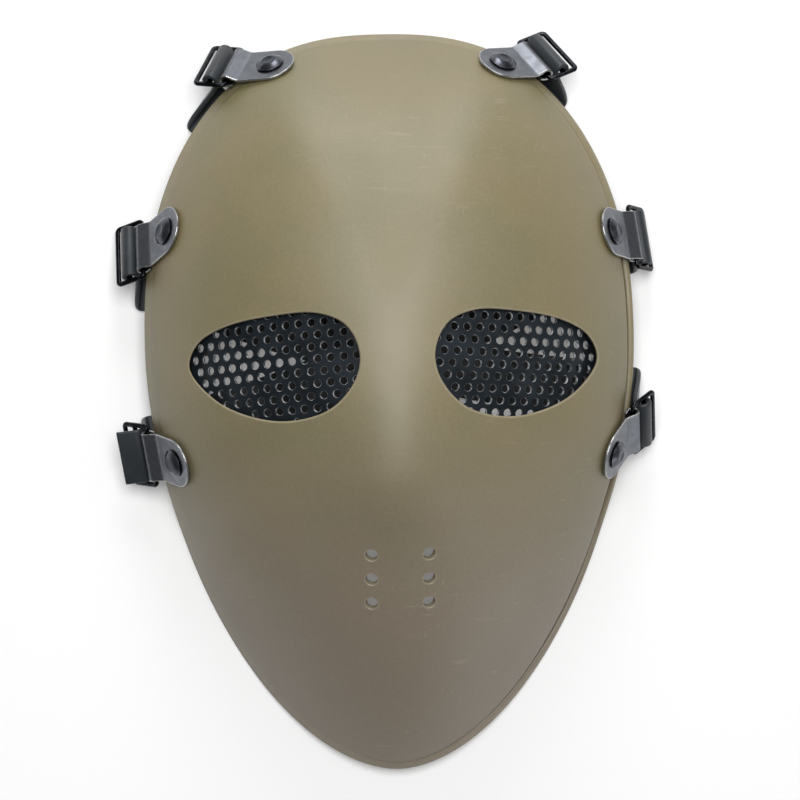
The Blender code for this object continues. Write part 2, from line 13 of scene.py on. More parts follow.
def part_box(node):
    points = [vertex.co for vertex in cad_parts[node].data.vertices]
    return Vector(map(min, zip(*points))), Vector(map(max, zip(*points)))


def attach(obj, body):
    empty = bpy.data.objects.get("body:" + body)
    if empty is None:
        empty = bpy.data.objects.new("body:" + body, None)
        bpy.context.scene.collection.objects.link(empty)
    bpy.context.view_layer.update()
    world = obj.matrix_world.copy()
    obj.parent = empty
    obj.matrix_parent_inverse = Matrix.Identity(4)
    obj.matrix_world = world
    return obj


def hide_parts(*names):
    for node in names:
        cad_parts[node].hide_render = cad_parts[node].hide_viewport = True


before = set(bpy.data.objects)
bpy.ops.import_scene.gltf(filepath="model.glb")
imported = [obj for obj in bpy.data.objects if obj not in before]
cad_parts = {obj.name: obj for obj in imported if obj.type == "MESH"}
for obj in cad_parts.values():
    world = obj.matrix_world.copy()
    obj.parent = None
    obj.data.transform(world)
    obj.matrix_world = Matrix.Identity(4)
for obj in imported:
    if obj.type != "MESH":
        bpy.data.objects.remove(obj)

bl_info = {
    "name": "Face mask",
    "version": (1, 0, 0),
    "blender": (4, 5, 0),
    "location": "View3D > Sidebar > Face mask",
    "description": "Builds a moulded face mask with perforated eye screens and a strap harness",
    "category": "Add Mesh",
}

# The shell's sizes come from the frame, the rest repeat the sizes the frame was made to
SHELL_LOW, SHELL_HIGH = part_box("mask_shell")
FACE_WIDTH = SHELL_HIGH[0] - SHELL_LOW[0]
FACE_HEIGHT = SHELL_HIGH[1] - SHELL_LOW[1]
WIDEST_ABOVE_CHIN = 0.1574
BROW_POWER = 2.25
CHIN_POWER = 1.82
DOME_HEIGHT = 0.0750
WALL = 0.0028
NOSE_HEIGHT = 0.0070
NOSE_HALF_WIDTH = 0.0260
KEEL_TOP_BELOW_BROW = 0.0700
NOSE_TIP_ABOVE_CHIN = 0.1090
NOSE_DROP = 0.0220
EYE_ACROSS = 0.0419
EYE_ABOVE_CHIN = 0.1470
EYE_HALF_LENGTH = 0.0295
EYE_HALF_HEIGHT = 0.0183
VENT_ACROSS = 0.0101
VENT_LOWEST_ABOVE_CHIN = 0.0638
VENT_PITCH = 0.0086
VENT_ROWS = 3
VENT_RADIUS = 0.00218
SCREEN_THICKNESS = 0.0009
SCREEN_OVERLAP = 0.0045
SCREEN_GAP = 0.0005
TAB_WIDTH = 0.0180
TAB_THICKNESS = 0.0010
TAB_GAP = 0.0003
TAB_FLAT = 0.0090
TAB_FLARE_RADIUS = 0.0040
TAB_FLARE_RUN = 0.0030
TAB_TUCK = 0.0022
RIVET_HEAD_RADIUS = 0.0050
RIVET_HEAD_HEIGHT = 0.0022
RIVET_SHANK_RADIUS = 0.0018
RIVET_TAIL_RADIUS = 0.0034
RIVET_TAIL_HEIGHT = 0.0012
RIVET_TAIL_GAP = 0.0005
CLEARANCE = 0.0003
BAR = 0.0018
SLIDE_THICKNESS = 0.0014
SLOT_SPARE = 0.0004
STRAP_WIDTH = 0.0200
STRAP_THICKNESS = 0.0015
STRAP_TAIL = 0.0060
OPEN_TAIL = 0.0065
OPEN_TAIL_LIFT = radians(34)
HUB_ABOVE_CHIN = 0.1560
HUB_FLAT = 1.65 * STRAP_WIDTH
HUB_RAMP = STRAP_WIDTH
GATE_STANDOFF = 0.0026
EDGE_LIFT = 0.0150

Turned = namedtuple("Turned", "polar value")
EDGE_TILTS = (Turned(-90, 60), Turned(-40, 80), Turned(-25, 80), Turned(20, 68), Turned(90, 52))
EDGE_LIFTS = (
    Turned(-90, 0.40),
    Turned(-60, 0),
    Turned(-45, 0),
    Turned(-26, 0.73),
    Turned(25, 0.87),
    Turned(62, 1),
    Turned(90, 0),
)

# How far the lip stands clear of the wall, by the angle round the face from its right side
LIP_SHARES = (
    Turned(-180, 0.08),
    Turned(-100, 0.08),
    Turned(-72, 0.75),
    Turned(-58, 1),
    Turned(12, 1),
    Turned(40, 0.5),
    Turned(62, 0.08),
    Turned(180, 0.08),
)

WindowPoint = namedtuple("WindowPoint", "outward up")
WINDOW_OUTLINE = (
    WindowPoint(1.02, 0.03),
    WindowPoint(0.91, 0.48),
    WindowPoint(0.58, 0.78),
    WindowPoint(0.00, 0.96),
    WindowPoint(-0.51, 0.98),
    WindowPoint(-0.83, 0.74),
    WindowPoint(-0.98, 0.22),
    WindowPoint(-0.92, -0.30),
    WindowPoint(-0.63, -0.82),
    WindowPoint(-0.15, -1.03),
    WindowPoint(0.32, -0.92),
    WindowPoint(0.74, -0.57),
)

Station = namedtuple("Station", "name side polar share swivel flare slide_turn gate open_tail")
STATIONS = {
    station.name: station
    for station in (
        Station("brow_left", -1, 67.3, 0.965, 60, 30, 10, 53.0, False),
        Station("brow_right", 1, 66.5, 0.965, 48, 30, 22, 57.0, False),
        Station("temple_left", -1, 26.3, 0.940, 30, 36, 24, 14.0, False),
        Station("temple_right", 1, 24.2, 0.940, 12, 36, 4, 20.0, False),
        Station("cheek_left", -1, -29.1, 0.930, -20, 38, 16, -23.0, True),
        Station("cheek_right", 1, -29.1, 0.945, -46, 32, 16, -14.5, False),
    )
}

Band = namedtuple("Band", "name left right")
BANDS = (
    Band("strap_across_temples", "temple_left", "temple_right"),
    Band("strap_left_brow_to_right_cheek", "brow_left", "cheek_right"),
    Band("strap_right_brow_to_left_cheek", "cheek_left", "brow_right"),
)

# Sizes that follow from those above
CHIN_Y = -FACE_HEIGHT / 2
CROWN_Y = CHIN_Y + WIDEST_ABOVE_CHIN
HALF_WIDTH = FACE_WIDTH / 2
CHIN_REACH = WIDEST_ABOVE_CHIN
BROW_REACH = FACE_HEIGHT - WIDEST_ABOVE_CHIN
BAR_REACH = hypot(BAR, SLIDE_THICKNESS) / 2
CURL_RADIUS = BAR_REACH + CLEARANCE + TAB_THICKNESS / 2
WRAP_RADIUS = BAR_REACH + CLEARANCE + STRAP_THICKNESS / 2
MIDDLE_BAR = CURL_RADIUS + TAB_THICKNESS / 2 + SLOT_SPARE + STRAP_THICKNESS / 2 + WRAP_RADIUS
OUTER_BAR = MIDDLE_BAR + WRAP_RADIUS + STRAP_THICKNESS / 2 + 3 * SLOT_SPARE + BAR / 2
SLIDE_INNER_HALF = max(STRAP_WIDTH, TAB_WIDTH) / 2 + SLOT_SPARE
FLOOR_LEVEL = CLEARANCE + STRAP_THICKNESS / 2

# The lip's section from the foot of the wall out over its top and down to its level underside:
# distance in from the edge as a share of the lip's width, height as a share of the lip's
LipPoint = namedtuple("LipPoint", "inward up")
LIP_SECTION = (
    LipPoint(1.00, 1.04),
    LipPoint(0.98, 0.78),
    LipPoint(0.93, 0.66),
    LipPoint(0.87, 0.68),
    LipPoint(0.81, 0.84),
    LipPoint(0.66, 0.96),
    LipPoint(0.45, 1.00),
    LipPoint(0.25, 0.92),
    LipPoint(0.09, 0.70),
    LipPoint(0.00, 0.45),
    LipPoint(0.02, 0.18),
    LipPoint(0.12, 0.00),
)

# The run of the wall at the lip's foot, the step that finds its slope, and the bevel at its heel
LIP_FOOT = 0.0009
LIP_PROBE = 0.0003
LIP_HEEL = 0.0004

# How a screen's rows lie: their turn, the columns' lean, and one hole's place round and up
RowLay = namedtuple("RowLay", "name side slant lean around up")
ROW_LAYS = (
    RowLay("left", -1, radians(4.4), radians(-1.5), -0.0387, 0.0267),
    RowLay("right", 1, radians(-3.1), radians(5.5), 0.0129, 0.0297),
)

# How finely the shapes are drawn: metres of the face to the disc's unit, steps along the
# outlines and round a vent, and the run of the surface that holds a rounded edge
DISC_SCALE = 0.125
WINDOW_STEP = 0.0013
SCREEN_STEP = 0.0018
VENT_SIDES = 28
CUT_SUPPORT = 0.0002

# A flat loop, and the rows of points that lead round the wall's edge from front to back over it
Cut = namedtuple("Cut", "loop rows")

# A straight run or an arc of a bent plate, a ring of a rivet, and a row across a strap
Run = namedtuple("Run", "length turn")
RivetRow = namedtuple("RivetRow", "radius height worn")
Row = namedtuple("Row", "centre across")


def length(name, description, default):
    """A size in metres."""
    return FloatProperty(
        name=name, description=description, default=default, min=0, unit="LENGTH", precision=5
    )


def colour(name, description, default):
    """A surface colour."""
    return FloatVectorProperty(
        name=name, description=description, default=default, subtype="COLOR", min=0, max=1
    )


def amount(name, description, default):
    """A number that isn't below zero."""
    return FloatProperty(name=name, description=description, default=default, min=0)


def position(name, description, default):
    """A place in metres."""
    return FloatVectorProperty(
        name=name, description=description, default=default, subtype="XYZ", unit="LENGTH"
    )


class ShellLook(bpy.types.PropertyGroup):
    """The moulded shell."""

    mesh_step: length("Mesh step", "Distance between the shell's mesh points", 0.0022)
    rim_sides: IntProperty(name="Rim sides", description="Steps round the edge", default=320, min=48)
    lip_width: length("Lip width", "Width of the raised lip round the edge, from the front", 0.0030)
    lip_height: length("Lip height", "Height of the lip where the wall is steepest", 0.0021)
    window_round: length("Window round", "Radius on the windows' edges", 0.0006)
    vent_round: length("Vent round", "Radius on the vents' edges", 0.00035)
    tan: colour("Tan", "Main colour of the plastic", (0.184, 0.147, 0.065))
    olive: colour("Olive", "Colour of its greener clouds", (0.160, 0.139, 0.062))
    umber: colour("Umber", "Colour that the plastic turns to at the chin", (0.180, 0.146, 0.108))
    # Pale colour of scuffs and cut edges; on the edges it is also a painted highlight
    worn: colour("Worn", "Colour of cut and rubbed edges", (0.36, 0.31, 0.215))


class ScreenLook(bpy.types.PropertyGroup):
    """The perforated screens."""

    mesh_step: length("Mesh step", "Distance between the sheet's mesh points", 0.0026)
    hole: length("Hole diameter", "Diameter of the round holes", 0.0028)
    pitch: length("Hole pitch", "Distance between holes in a row", 0.0046)
    row_pitch: length("Row pitch", "Distance between the rows", 0.00423)
    countersink: length("Countersink", "Width of the bright edge round each hole", 0.00012)
    border: length("Border", "Plain width along the sheet's edge", 0.0018)
    bend: length("Bend radius", "Radius that the sheet was rolled to across the face", 0.11)
    paint: colour("Paint", "Colour of the gloss paint", (0.0075, 0.0105, 0.0135))


class FixingLook(bpy.types.PropertyGroup):
    """The tabs, rivets and slides."""

    tab_round: length("Tab round", "Radius on the tabs' edges", 0.00028)
    wire_round: length("Wire round", "Radius on the slides' bars", 0.00062)
    dimple_radius: length("Dimple radius", "Radius of the dent in a rivet's head", 0.0019)
    dimple_depth: length("Dimple depth", "Depth of the dent in a rivet's head", 0.0006)
    rivet_sides: IntProperty(name="Rivet sides", description="Steps round a rivet", default=48, min=12)
    tab: colour("Tab", "Colour of the tabs' plating", (0.165, 0.176, 0.198))
    rivet: colour("Rivet", "Colour of the rivets' plating", (0.046, 0.052, 0.066))
    wire: colour("Wire", "Colour of the slides' coating", (0.020, 0.022, 0.026))


class StrapLook(bpy.types.PropertyGroup):
    """The elastic straps."""

    step: length("Mesh step", "Distance between the strap's rows on its long runs", 0.0020)
    edge_round: length("Edge round", "Radius on the strap's edges", 0.0005)
    rib_pitch: length("Rib pitch", "Distance between the lengthwise ribs", 0.0010)
    pick_pitch: length("Pick pitch", "Distance between the crosswise threads", 0.0007)
    yarn: colour("Yarn", "Colour of the threads", (0.014, 0.019, 0.024))
    # Painted shade: the colour that the weave darkens to between the ribs
    gap: colour("Gap", "Colour between the ribs", (0.009, 0.012, 0.015))


class StudioLook(bpy.types.PropertyGroup):
    """The camera, the floor and the lights."""

    place: position("Camera", "Place of the camera", (-0.0422, -0.0010, 1.1036))
    aim: position("Aim", "Place on the floor that the camera looks at", (0.00365, 0.00013, 0))
    roll: FloatProperty(name="Roll", description="Camera's roll", default=radians(-1.28), subtype="ANGLE")
    lens: amount("Lens", "Focal length in millimetres", 135.4)
    floor: colour("Floor", "Colour of the floor", (0.78, 0.78, 0.78))
    glow: amount("Floor glow", "Light of the floor", 0.17)
    over_light: amount("Overhead light", "Power of the softbox overhead", 22)
    brow_light: amount("Brow light", "Power of the softbox beyond the brow", 9)
    right_light: amount("Right light", "Power of the softbox on the right", 1.0)
    low_light: amount("Low light", "Power of the low softbox beside the chin", 2.4)
    room_light: amount("Room light", "Strength of the light all round", 0.16)


class MaskSettings(bpy.types.PropertyGroup):
    """Everything that can be set."""

    shell: PointerProperty(type=ShellLook)
    screens: PointerProperty(type=ScreenLook)
    fixings: PointerProperty(type=FixingLook)
    straps: PointerProperty(type=StrapLook)
    studio: PointerProperty(type=StudioLook)


def wire(tree, kind, inputs=None, **settings):
    """Add a node to a tree, set it up and fill or link its inputs."""
    node = tree.nodes.new(kind)
    for name, value in settings.items():
        setattr(node, name, value)
    for name, value in (inputs or {}).items():
        socket = node.inputs[name]
        if isinstance(value, bpy.types.NodeSocket):
            tree.links.new(value, socket)
        else:
            socket.default_value = value
    return node


def work_out(tree, operation, *values):
    """A sum, a product or another function of values."""
    return wire(tree, "ShaderNodeMath", dict(enumerate(values)), operation=operation).outputs[0]


def surface(name, roughness, metallic=0.0):
    """A new material, its tree, its shader and the place on the object."""
    finish = bpy.data.materials.new(name)
    finish.use_nodes = True
    tree = finish.node_tree
    shader = tree.nodes["Principled BSDF"]
    shader.inputs["Roughness"].default_value = roughness
    shader.inputs["Metallic"].default_value = metallic
    place = wire(tree, "ShaderNodeTexCoord").outputs["Object"]
    return finish, tree, shader, place


def noise(tree, place, scale, detail=2.0, stretch=None, turn=(0, 0, 0)):
    """A cloudy value, stretched and turned if asked."""
    if stretch:
        place = wire(
            tree, "ShaderNodeMapping", {"Vector": place, "Scale": stretch, "Rotation": turn}
        ).outputs["Vector"]
    node = wire(tree, "ShaderNodeTexNoise", {"Vector": place, "Scale": scale, "Detail": detail})
    return node.outputs["Fac"]


def spread(tree, value, low, high, to_low=0.0, to_high=1.0):
    """A value's range, mapped smoothly on another."""
    ranges = {"Value": value, "From Min": low, "From Max": high, "To Min": to_low, "To Max": to_high}
    return wire(tree, "ShaderNodeMapRange", ranges, interpolation_type="SMOOTHSTEP").outputs["Result"]


def blend(tree, share, first, second):
    """Two colours mixed by a share."""
    inputs = {0: share}
    for index, value in ((6, first), (7, second)):
        inputs[index] = value if isinstance(value, bpy.types.NodeSocket) else (*value[:3], 1)
    return wire(tree, "ShaderNodeMix", inputs, data_type="RGBA").outputs[2]


def sum_of(tree, *terms):
    """Values added, each times its weight."""
    total = 0
    for value, weight in terms:
        total = work_out(tree, "MULTIPLY_ADD", value, weight, total)
    return total


def bumps(tree, shader, height, distance, strength):
    """Relief on a shader from a height."""
    relief = {"Height": height, "Distance": distance, "Strength": strength}
    tree.links.new(wire(tree, "ShaderNodeBump", relief).outputs["Normal"], shader.inputs["Normal"])


def attribute(tree, name, output="Fac"):
    """What the mesh stores under a name."""
    return wire(tree, "ShaderNodeAttribute", attribute_name=name).outputs[output]


def coat(tree, shader, body, rough=None, least=0.0):
    """Give a shader its colour, and its roughness over the least one."""
    tree.links.new(body, shader.inputs["Base Color"])
    if rough:
        tree.links.new(work_out(tree, "ADD", rough, least), shader.inputs["Roughness"])


def moulded_plastic(look):
    """Matt tan plastic with faint clouds, grain, scuffs, and paler edges that are partly scuffed and partly
    a painted highlight.
    """
    finish, tree, shader, place = surface("moulded plastic", 0.5)
    clouds = spread(tree, noise(tree, place, 24, 4), 0.35, 0.68)
    body = blend(tree, clouds, look.tan, look.olive)
    height = wire(tree, "ShaderNodeSeparateXYZ", {"Vector": place}).outputs["Y"]
    drift = sum_of(tree, (height, 1.0), (noise(tree, place, 12, 2), 0.04))
    body = blend(tree, spread(tree, drift, 0.03, -0.07, 0.0, 0.9), body, look.umber)
    fine = noise(tree, place, 900, 3)
    body = blend(tree, spread(tree, fine, 0.3, 0.75, 0.0, 0.10), body, look.worn)
    long_scuffs = noise(tree, place, 60, 3, (1, 9, 3), (0, 0, radians(35)))
    short_scuffs = noise(tree, place, 150, 2, (6, 1, 2), (0, 0, radians(-20)))
    scuffs = sum_of(
        tree, (spread(tree, long_scuffs, 0.62, 0.74), 0.5), (spread(tree, short_scuffs, 0.66, 0.76), 0.5)
    )
    marks = work_out(tree, "MULTIPLY", scuffs, spread(tree, noise(tree, place, 14, 2), 0.48, 0.62))
    body = blend(tree, sum_of(tree, (marks, 0.55)), body, look.worn)
    patchy = spread(tree, noise(tree, place, 260, 3), 0.25, 0.7, 0.45, 0.95)
    # The cut edges and the lip's crest turn paler: partly scuffed plastic, partly a painted highlight on
    # the lit rims
    body = blend(tree, work_out(tree, "MULTIPLY", attribute(tree, "worn"), patchy), body, look.worn)
    rough = sum_of(tree, (noise(tree, place, 40, 4), 0.14), (fine, 0.10), (marks, 0.15))
    coat(tree, shader, body, rough, 0.42)
    grain = sum_of(tree, (noise(tree, place, 2600, 2), 0.5), (noise(tree, place, 420, 3), 0.8))
    bumps(tree, shader, grain, 0.00005, 0.6)
    shader.inputs["Specular IOR Level"].default_value = 1.0
    return finish


def screen_paint(look):
    """Black gloss paint with a rolled skin; at the holes' edges the paint turns pale grey, partly bared
    steel and partly a painted glint.
    """
    finish, tree, shader, place = surface("black gloss paint", 0.3)
    shader.inputs["Specular IOR Level"].default_value = 0.2
    paler = [min(1, c * 1.9) for c in look.paint]
    body = blend(tree, spread(tree, noise(tree, place, 90, 3), 0.35, 0.7), look.paint, paler)
    patchy = spread(tree, noise(tree, place, 700, 2), 0.45, 0.62, 0.15, 0.9)
    # The punched faces turn pale grey in patches: paint bared at the holes' edges, and a painted glint on
    # them
    rubbed_and_glint = work_out(tree, "MULTIPLY", attribute(tree, "punched"), patchy)
    body = blend(tree, rubbed_and_glint, body, (0.42, 0.43, 0.45))
    coat(tree, shader, body, sum_of(tree, (noise(tree, place, 160, 3), 0.22), (rubbed_and_glint, -0.05)), 0.22)
    bumps(tree, shader, noise(tree, place, 1100, 2), 0.00003, 0.5)
    return finish


def plated_steel(name, body_colour, bright, roughness, brushed):
    """Plated steel, brushed along the piece, brighter and smoother on its edges, which are scuffed and
    carry a painted highlight.
    """
    finish, tree, shader, _ = surface(name, roughness, 1.0)
    place, worn = attribute(tree, "lay", "Vector"), attribute(tree, "worn")
    lines = noise(tree, place, 500, 3, brushed)
    stains = spread(tree, noise(tree, place, 260, 4), 0.35, 0.7)
    body = blend(tree, stains, [c * 0.80 for c in body_colour], body_colour)
    body = blend(tree, spread(tree, lines, 0.45, 0.8, 0.0, 0.35), body, bright)
    # Marked edges turn bright: scuffed plating and a painted highlight on the rims
    body = blend(tree, worn, body, bright)
    coat(tree, shader, body, sum_of(tree, (lines, 0.20), (stains, -0.08), (worn, -0.08)), roughness)
    bumps(tree, shader, sum_of(tree, (lines, 0.6), (noise(tree, place, 1400, 2), 0.5)), 0.00004, 0.5)
    return finish


def elastic_webbing(look):
    """Black woven elastic: lengthwise ribs crossed by fine threads, a little fuzzy, painted darker between
    the ribs as shade and lighter on the threads' tops as a highlight.
    """
    finish, tree, shader, place = surface("black elastic webbing", 0.5)
    across_along = wire(tree, "ShaderNodeUVMap", uv_map="strap").outputs["UV"]
    parts = wire(tree, "ShaderNodeSeparateXYZ", {"Vector": across_along}).outputs
    ribs = work_out(tree, "MULTIPLY", parts["X"], 2 * pi / look.rib_pitch)
    picks = work_out(tree, "MULTIPLY", parts["Y"], 2 * pi / look.pick_pitch)
    waves = work_out(tree, "SINE", work_out(tree, "MULTIPLY", ribs, 0.5))
    picks = work_out(tree, "ADD", picks, work_out(tree, "MULTIPLY", waves, 1.4))
    rib, pick = work_out(tree, "COSINE", ribs), work_out(tree, "SINE", picks)
    height = sum_of(tree, (rib, 0.45), (pick, 0.30), (noise(tree, place, 2400, 3), 0.5))
    # Painted shade and highlight: the colour darkens into the weave's recesses and lightens on the threads'
    # tops
    body = blend(tree, spread(tree, height, -0.35, 0.85), look.gap, look.yarn)
    dust = spread(tree, noise(tree, place, 130, 3), 0.5, 0.75, 0.0, 0.35)
    coat(tree, shader, blend(tree, dust, body, [min(1, c * 2.2) for c in look.yarn]))
    bumps(tree, shader, height, 0.00002, 0.6)
    shader.inputs["Sheen Weight"].default_value = 0.12
    shader.inputs["Sheen Roughness"].default_value = 0.5
    return finish


def eased(low, high, share):
    """A smooth step from one value to another."""
    share = min(max(share, 0), 1)
    return low + (high - low) * (1 - cos(pi * share)) / 2


def reach(angle):
    """Distance seen from the front between the crown of the dome and its edge."""
    along, up = abs(cos(angle)), sin(angle)
    far = eased(CHIN_REACH, BROW_REACH, up + 0.5)
    power = eased(CHIN_POWER, BROW_POWER, up + 0.5)
    return ((along / HALF_WIDTH) ** power + (abs(up) / far) ** power) ** (-1 / power)


def between(rows, polar):
    """A value that changes smoothly with an angle in degrees, from rows of angle and value."""
    for low, high in zip(rows, rows[1:]):
        if polar <= high.polar:
            return eased(low.value, high.value, (polar - low.polar) / (high.polar - low.polar))
    return rows[-1].value


def round_crown(rows, angle):
    """A value that changes smoothly round the crown, the same on both sides."""
    return between(rows, degrees(asin(sin(angle))))


def edge_tilt(angle):
    """How far the dome has turned at its edge."""
    return radians(round_crown(EDGE_TILTS, angle))


def edge_lift(angle):
    """Height of the edge over the floor."""
    return EDGE_LIFT * round_crown(EDGE_LIFTS, angle)


def nose(x, y):
    """How far the ridge stands out of the dome."""
    top, tip = -CHIN_Y - KEEL_TOP_BELOW_BROW, CHIN_Y + NOSE_TIP_ABOVE_CHIN
    along = eased(0, 1, (top - y) / (top - tip)) if y > tip else exp(-(((tip - y) / NOSE_DROP) ** 2))
    return NOSE_HEIGHT * along * exp(-((x / NOSE_HALF_WIDTH) ** 2))


def dome_point(u, v):
    """The shell's outside over a point of the unit disc that is laid over the face."""
    angle = atan2(v, u)
    edge = edge_tilt(angle)
    tilt = hypot(u, v) * edge
    out = reach(angle) * sin(tilt) / sin(edge)
    x, y = out * cos(angle), CROWN_Y + out * sin(angle)
    fall = (1 - cos(tilt)) / (1 - cos(edge))
    return Vector((x, y, DOME_HEIGHT + (edge_lift(angle) - DOME_HEIGHT) * fall + nose(x, y)))


def dome_normal(u, v):
    """Unit vector out of the face."""
    step = 0.002
    along_u = dome_point(u + step, v) - dome_point(u - step, v)
    along_v = dome_point(u, v + step) - dome_point(u, v - step)
    return along_u.cross(along_v).normalized()


def dome_at(u, v, depth):
    """A point at a depth below the shell's outside."""
    return dome_point(u, v) - dome_normal(u, v) * depth


def polar(radius, angle):
    """A flat point at a distance and a direction from the middle."""
    return Vector((radius * cos(angle), radius * sin(angle)))


def to_disc(x, y):
    """The point of the disc whose shell point is seen from the front at x, y."""
    angle = atan2(y - CROWN_Y, x)
    edge = edge_tilt(angle)
    share = hypot(x, y - CROWN_Y) / reach(angle)
    return polar(asin(min(share, 1) * sin(edge)) / edge, angle)


def bridge(start, out, end, into, t):
    """A place on a cubic curve between two points, which leaves and arrives as given."""
    return (
        start * (2 * t**3 - 3 * t**2 + 1)
        + out * (t**3 - 2 * t**2 + t)
        + end * (3 * t**2 - 2 * t**3)
        + into * (t**3 - t**2)
    )


def spline(knots, step, closed=False):
    """A smooth curve through points, as centripetal cubic pieces, sampled at about a step."""
    count = len(knots)
    curve = []
    for i in range(count if closed else count - 1):
        p1, p2 = knots[i], knots[(i + 1) % count]
        p0 = knots[i - 1] if closed or i else 2 * p1 - p2
        p3 = knots[(i + 2) % count] if closed or i + 2 < count else 2 * p2 - p1
        gaps = [max((b - a).length, 1e-9) ** 0.5 for a, b in ((p0, p1), (p1, p2), (p2, p3))]
        out = (p1 - p0) / gaps[0] - (p2 - p0) / (gaps[0] + gaps[1]) + (p2 - p1) / gaps[1]
        into = (p2 - p1) / gaps[1] - (p3 - p1) / (gaps[1] + gaps[2]) + (p3 - p2) / gaps[2]
        out, into = out * gaps[1], into * gaps[1]
        samples = max(1, ceil((p2 - p1).length / step))
        curve += [bridge(p1, out, p2, into, j / samples) for j in range(samples)]
    return curve if closed else curve + [knots[-1].copy()]


def swing(start, out, end, into, steps):
    """Points between a start and an end, leaving and arriving along two directions."""
    reach_of = (end - start).length
    out, into = out.normalized() * reach_of, into.normalized() * reach_of
    return [bridge(start, out, end, into, i / steps) for i in range(1, steps)]


def inside(point, loop):
    """Whether a flat point lies in a flat loop."""
    crossings = False
    x, y = point
    x1, y1 = loop[-1]
    for x2, y2 in loop:
        if (y1 > y) != (y2 > y) and x < x1 + (y - y1) / (y2 - y1) * (x2 - x1):
            crossings = not crossings
        x1, y1 = x2, y2
    return crossings


class Keepout:
    """A flat loop that knows which points lie in it or near it."""

    def __init__(self, loop, distance):
        self.loop = [tuple(point) for point in loop]
        self.distance = distance
        self.centre = sum(loop, Vector((0, 0))) / len(loop)
        self.far = max((point - self.centre).length for point in loop) + distance

    def holds(self, point):
        """Whether the point is in the loop or nearer than the distance."""
        if (point - self.centre).length > self.far:
            return False
        if inside(point, self.loop):
            return True
        x, y = point
        return min(hypot(x - a, y - b) for a, b in self.loop) < self.distance


def staggered_ring(radius, step, ring):
    """Points round the disc about a step apart, turned by half of it on every other ring."""
    count = max(1, round(2 * pi * radius / step))
    return [polar(radius, 2 * pi * (i + ring % 2 / 2) / count) for i in range(count)]


def disc_fill(step, widest, keepouts):
    """Points over the disc on rings, staggered from ring to ring."""
    points = []
    rings = ceil(widest / step)
    for ring in range(rings + 1):
        for point in staggered_ring(widest * ring / rings, step, ring):
            if not any(keepout.holds(point) for keepout in keepouts):
                points.append(point)
    return points


def area_of(loop):
    """The signed area of a flat loop."""
    return sum(a[0] * b[1] - b[0] * a[1] for a, b in zip(loop, loop[1:] + loop[:1])) / 2


def smooth(mesh, sharp):
    """Shade a mesh smooth but for its edges past an angle in degrees."""
    mesh.shade_smooth()
    mesh.set_sharp_from_angle(angle=radians(sharp))


def new_mesh(name, points, faces, sharp):
    """A smooth mesh of points and faces, with edges past an angle in degrees kept sharp."""
    mesh = bpy.data.meshes.new(name)
    mesh.from_pydata(points, [], faces)
    smooth(mesh, sharp)
    return mesh


def wall_mesh(name, cuts, fill, surface_at, thickness, creases=(), row_wear_and_highlight=lambda cut, row: 1.0, place=None):
    """Close the wall between a surface and the same one a thickness below, round its cut edges.

    The first cut is the outline and the others are holes. A function of cut and row says how pale each row
    of a cut edge is made, which is scuffing and a painted highlight."""
    points, edges = [], []
    for crease in creases:
        edges.append((len(points), len(points) + 1))
        points += crease
    starts = []
    for cut in cuts:
        first, count = len(points), len(cut.loop)
        starts.append(first)
        points += cut.loop
        edges += [(first + i, first + (i + 1) % count) for i in range(count)]
    flat, _, triangles, sources, *_ = delaunay_2d_cdt(points + fill, edges, [], 0, 1e-8)
    number = {source: i for i, row in enumerate(sources) for source in row}
    outline = [tuple(point) for point in cuts[0].loop]
    holes = [Keepout(cut.loop, 0) for cut in cuts[1:]]
    kept = []
    for triangle in triangles:
        centre = sum((flat[i] for i in triangle), Vector((0, 0))) / 3
        if inside(centre, outline) and not any(hole.holds(centre) for hole in holes):
            kept.append(tuple(triangle))
    used = sorted({i for triangle in kept for i in triangle})
    new = {old: i for i, old in enumerate(used)}
    count = len(used)
    verts = [surface_at(*flat[i], depth) for depth in (0, thickness) for i in used]
    lay = [(*flat[i], 0) for i in used] * 2
    worn = [0.0] * len(verts)
    faces = [tuple(new[i] for i in triangle) for triangle in kept]
    faces += [tuple(new[i] + count for i in reversed(triangle)) for triangle in kept]
    for index, (cut, first) in enumerate(zip(cuts, starts)):
        ring = [new[number[first + i]] for i in range(len(cut.loop))]
        forward = (area_of(cut.loop) > 0) == (index == 0)
        rows = [ring]
        for row_index, row in enumerate(cut.rows):
            rows.append(list(range(len(verts), len(verts) + len(row))))
            verts += row
            lay += [(*point, 0) for point in cut.loop]
            worn += [row_wear_and_highlight(index, row_index)] * len(row)
        rows.append([i + count for i in ring])
        for upper, lower in zip(rows, rows[1:]):
            for i in range(len(ring)):
                j = (i + 1) % len(ring)
                a, b = (i, j) if forward else (j, i)
                faces.append((upper[b], upper[a], lower[a], lower[b]))
    mesh = new_mesh(name, [place @ vert for vert in verts] if place else verts, faces, 42)
    store(mesh, worn, lay)
    return mesh


def store(mesh, worn, lay):
    """Keep how pale each point is made, by scuffing and a painted highlight, and where it lies on the piece
    before it was bent.
    """
    mesh.attributes.new("worn", "FLOAT", "POINT").data.foreach_set("value", worn)
    flat = [number for point in lay for number in point]
    mesh.attributes.new("lay", "FLOAT_VECTOR", "POINT").data.foreach_set("vector", flat)


def window_nearness(x, y):
    """One close to a window and nothing a little further off, seen from the front."""
    across = (abs(x) - EYE_ACROSS) / EYE_HALF_LENGTH
    up = (y - CHIN_Y - EYE_ABOVE_CHIN) / EYE_HALF_HEIGHT
    return eased(1, 0, (hypot(across, up) - 1.15) / 0.5)


def wall_at(u, v, depth):
    """A point in the shell's wall; near the windows the way in is straight to the back."""
    point, normal = dome_point(u, v), dome_normal(u, v)
    near = window_nearness(point.x, point.y)
    straight = Vector((0, 0, 1 / max(normal.z, 0.3)))
    return point - normal.lerp(straight, near) * depth


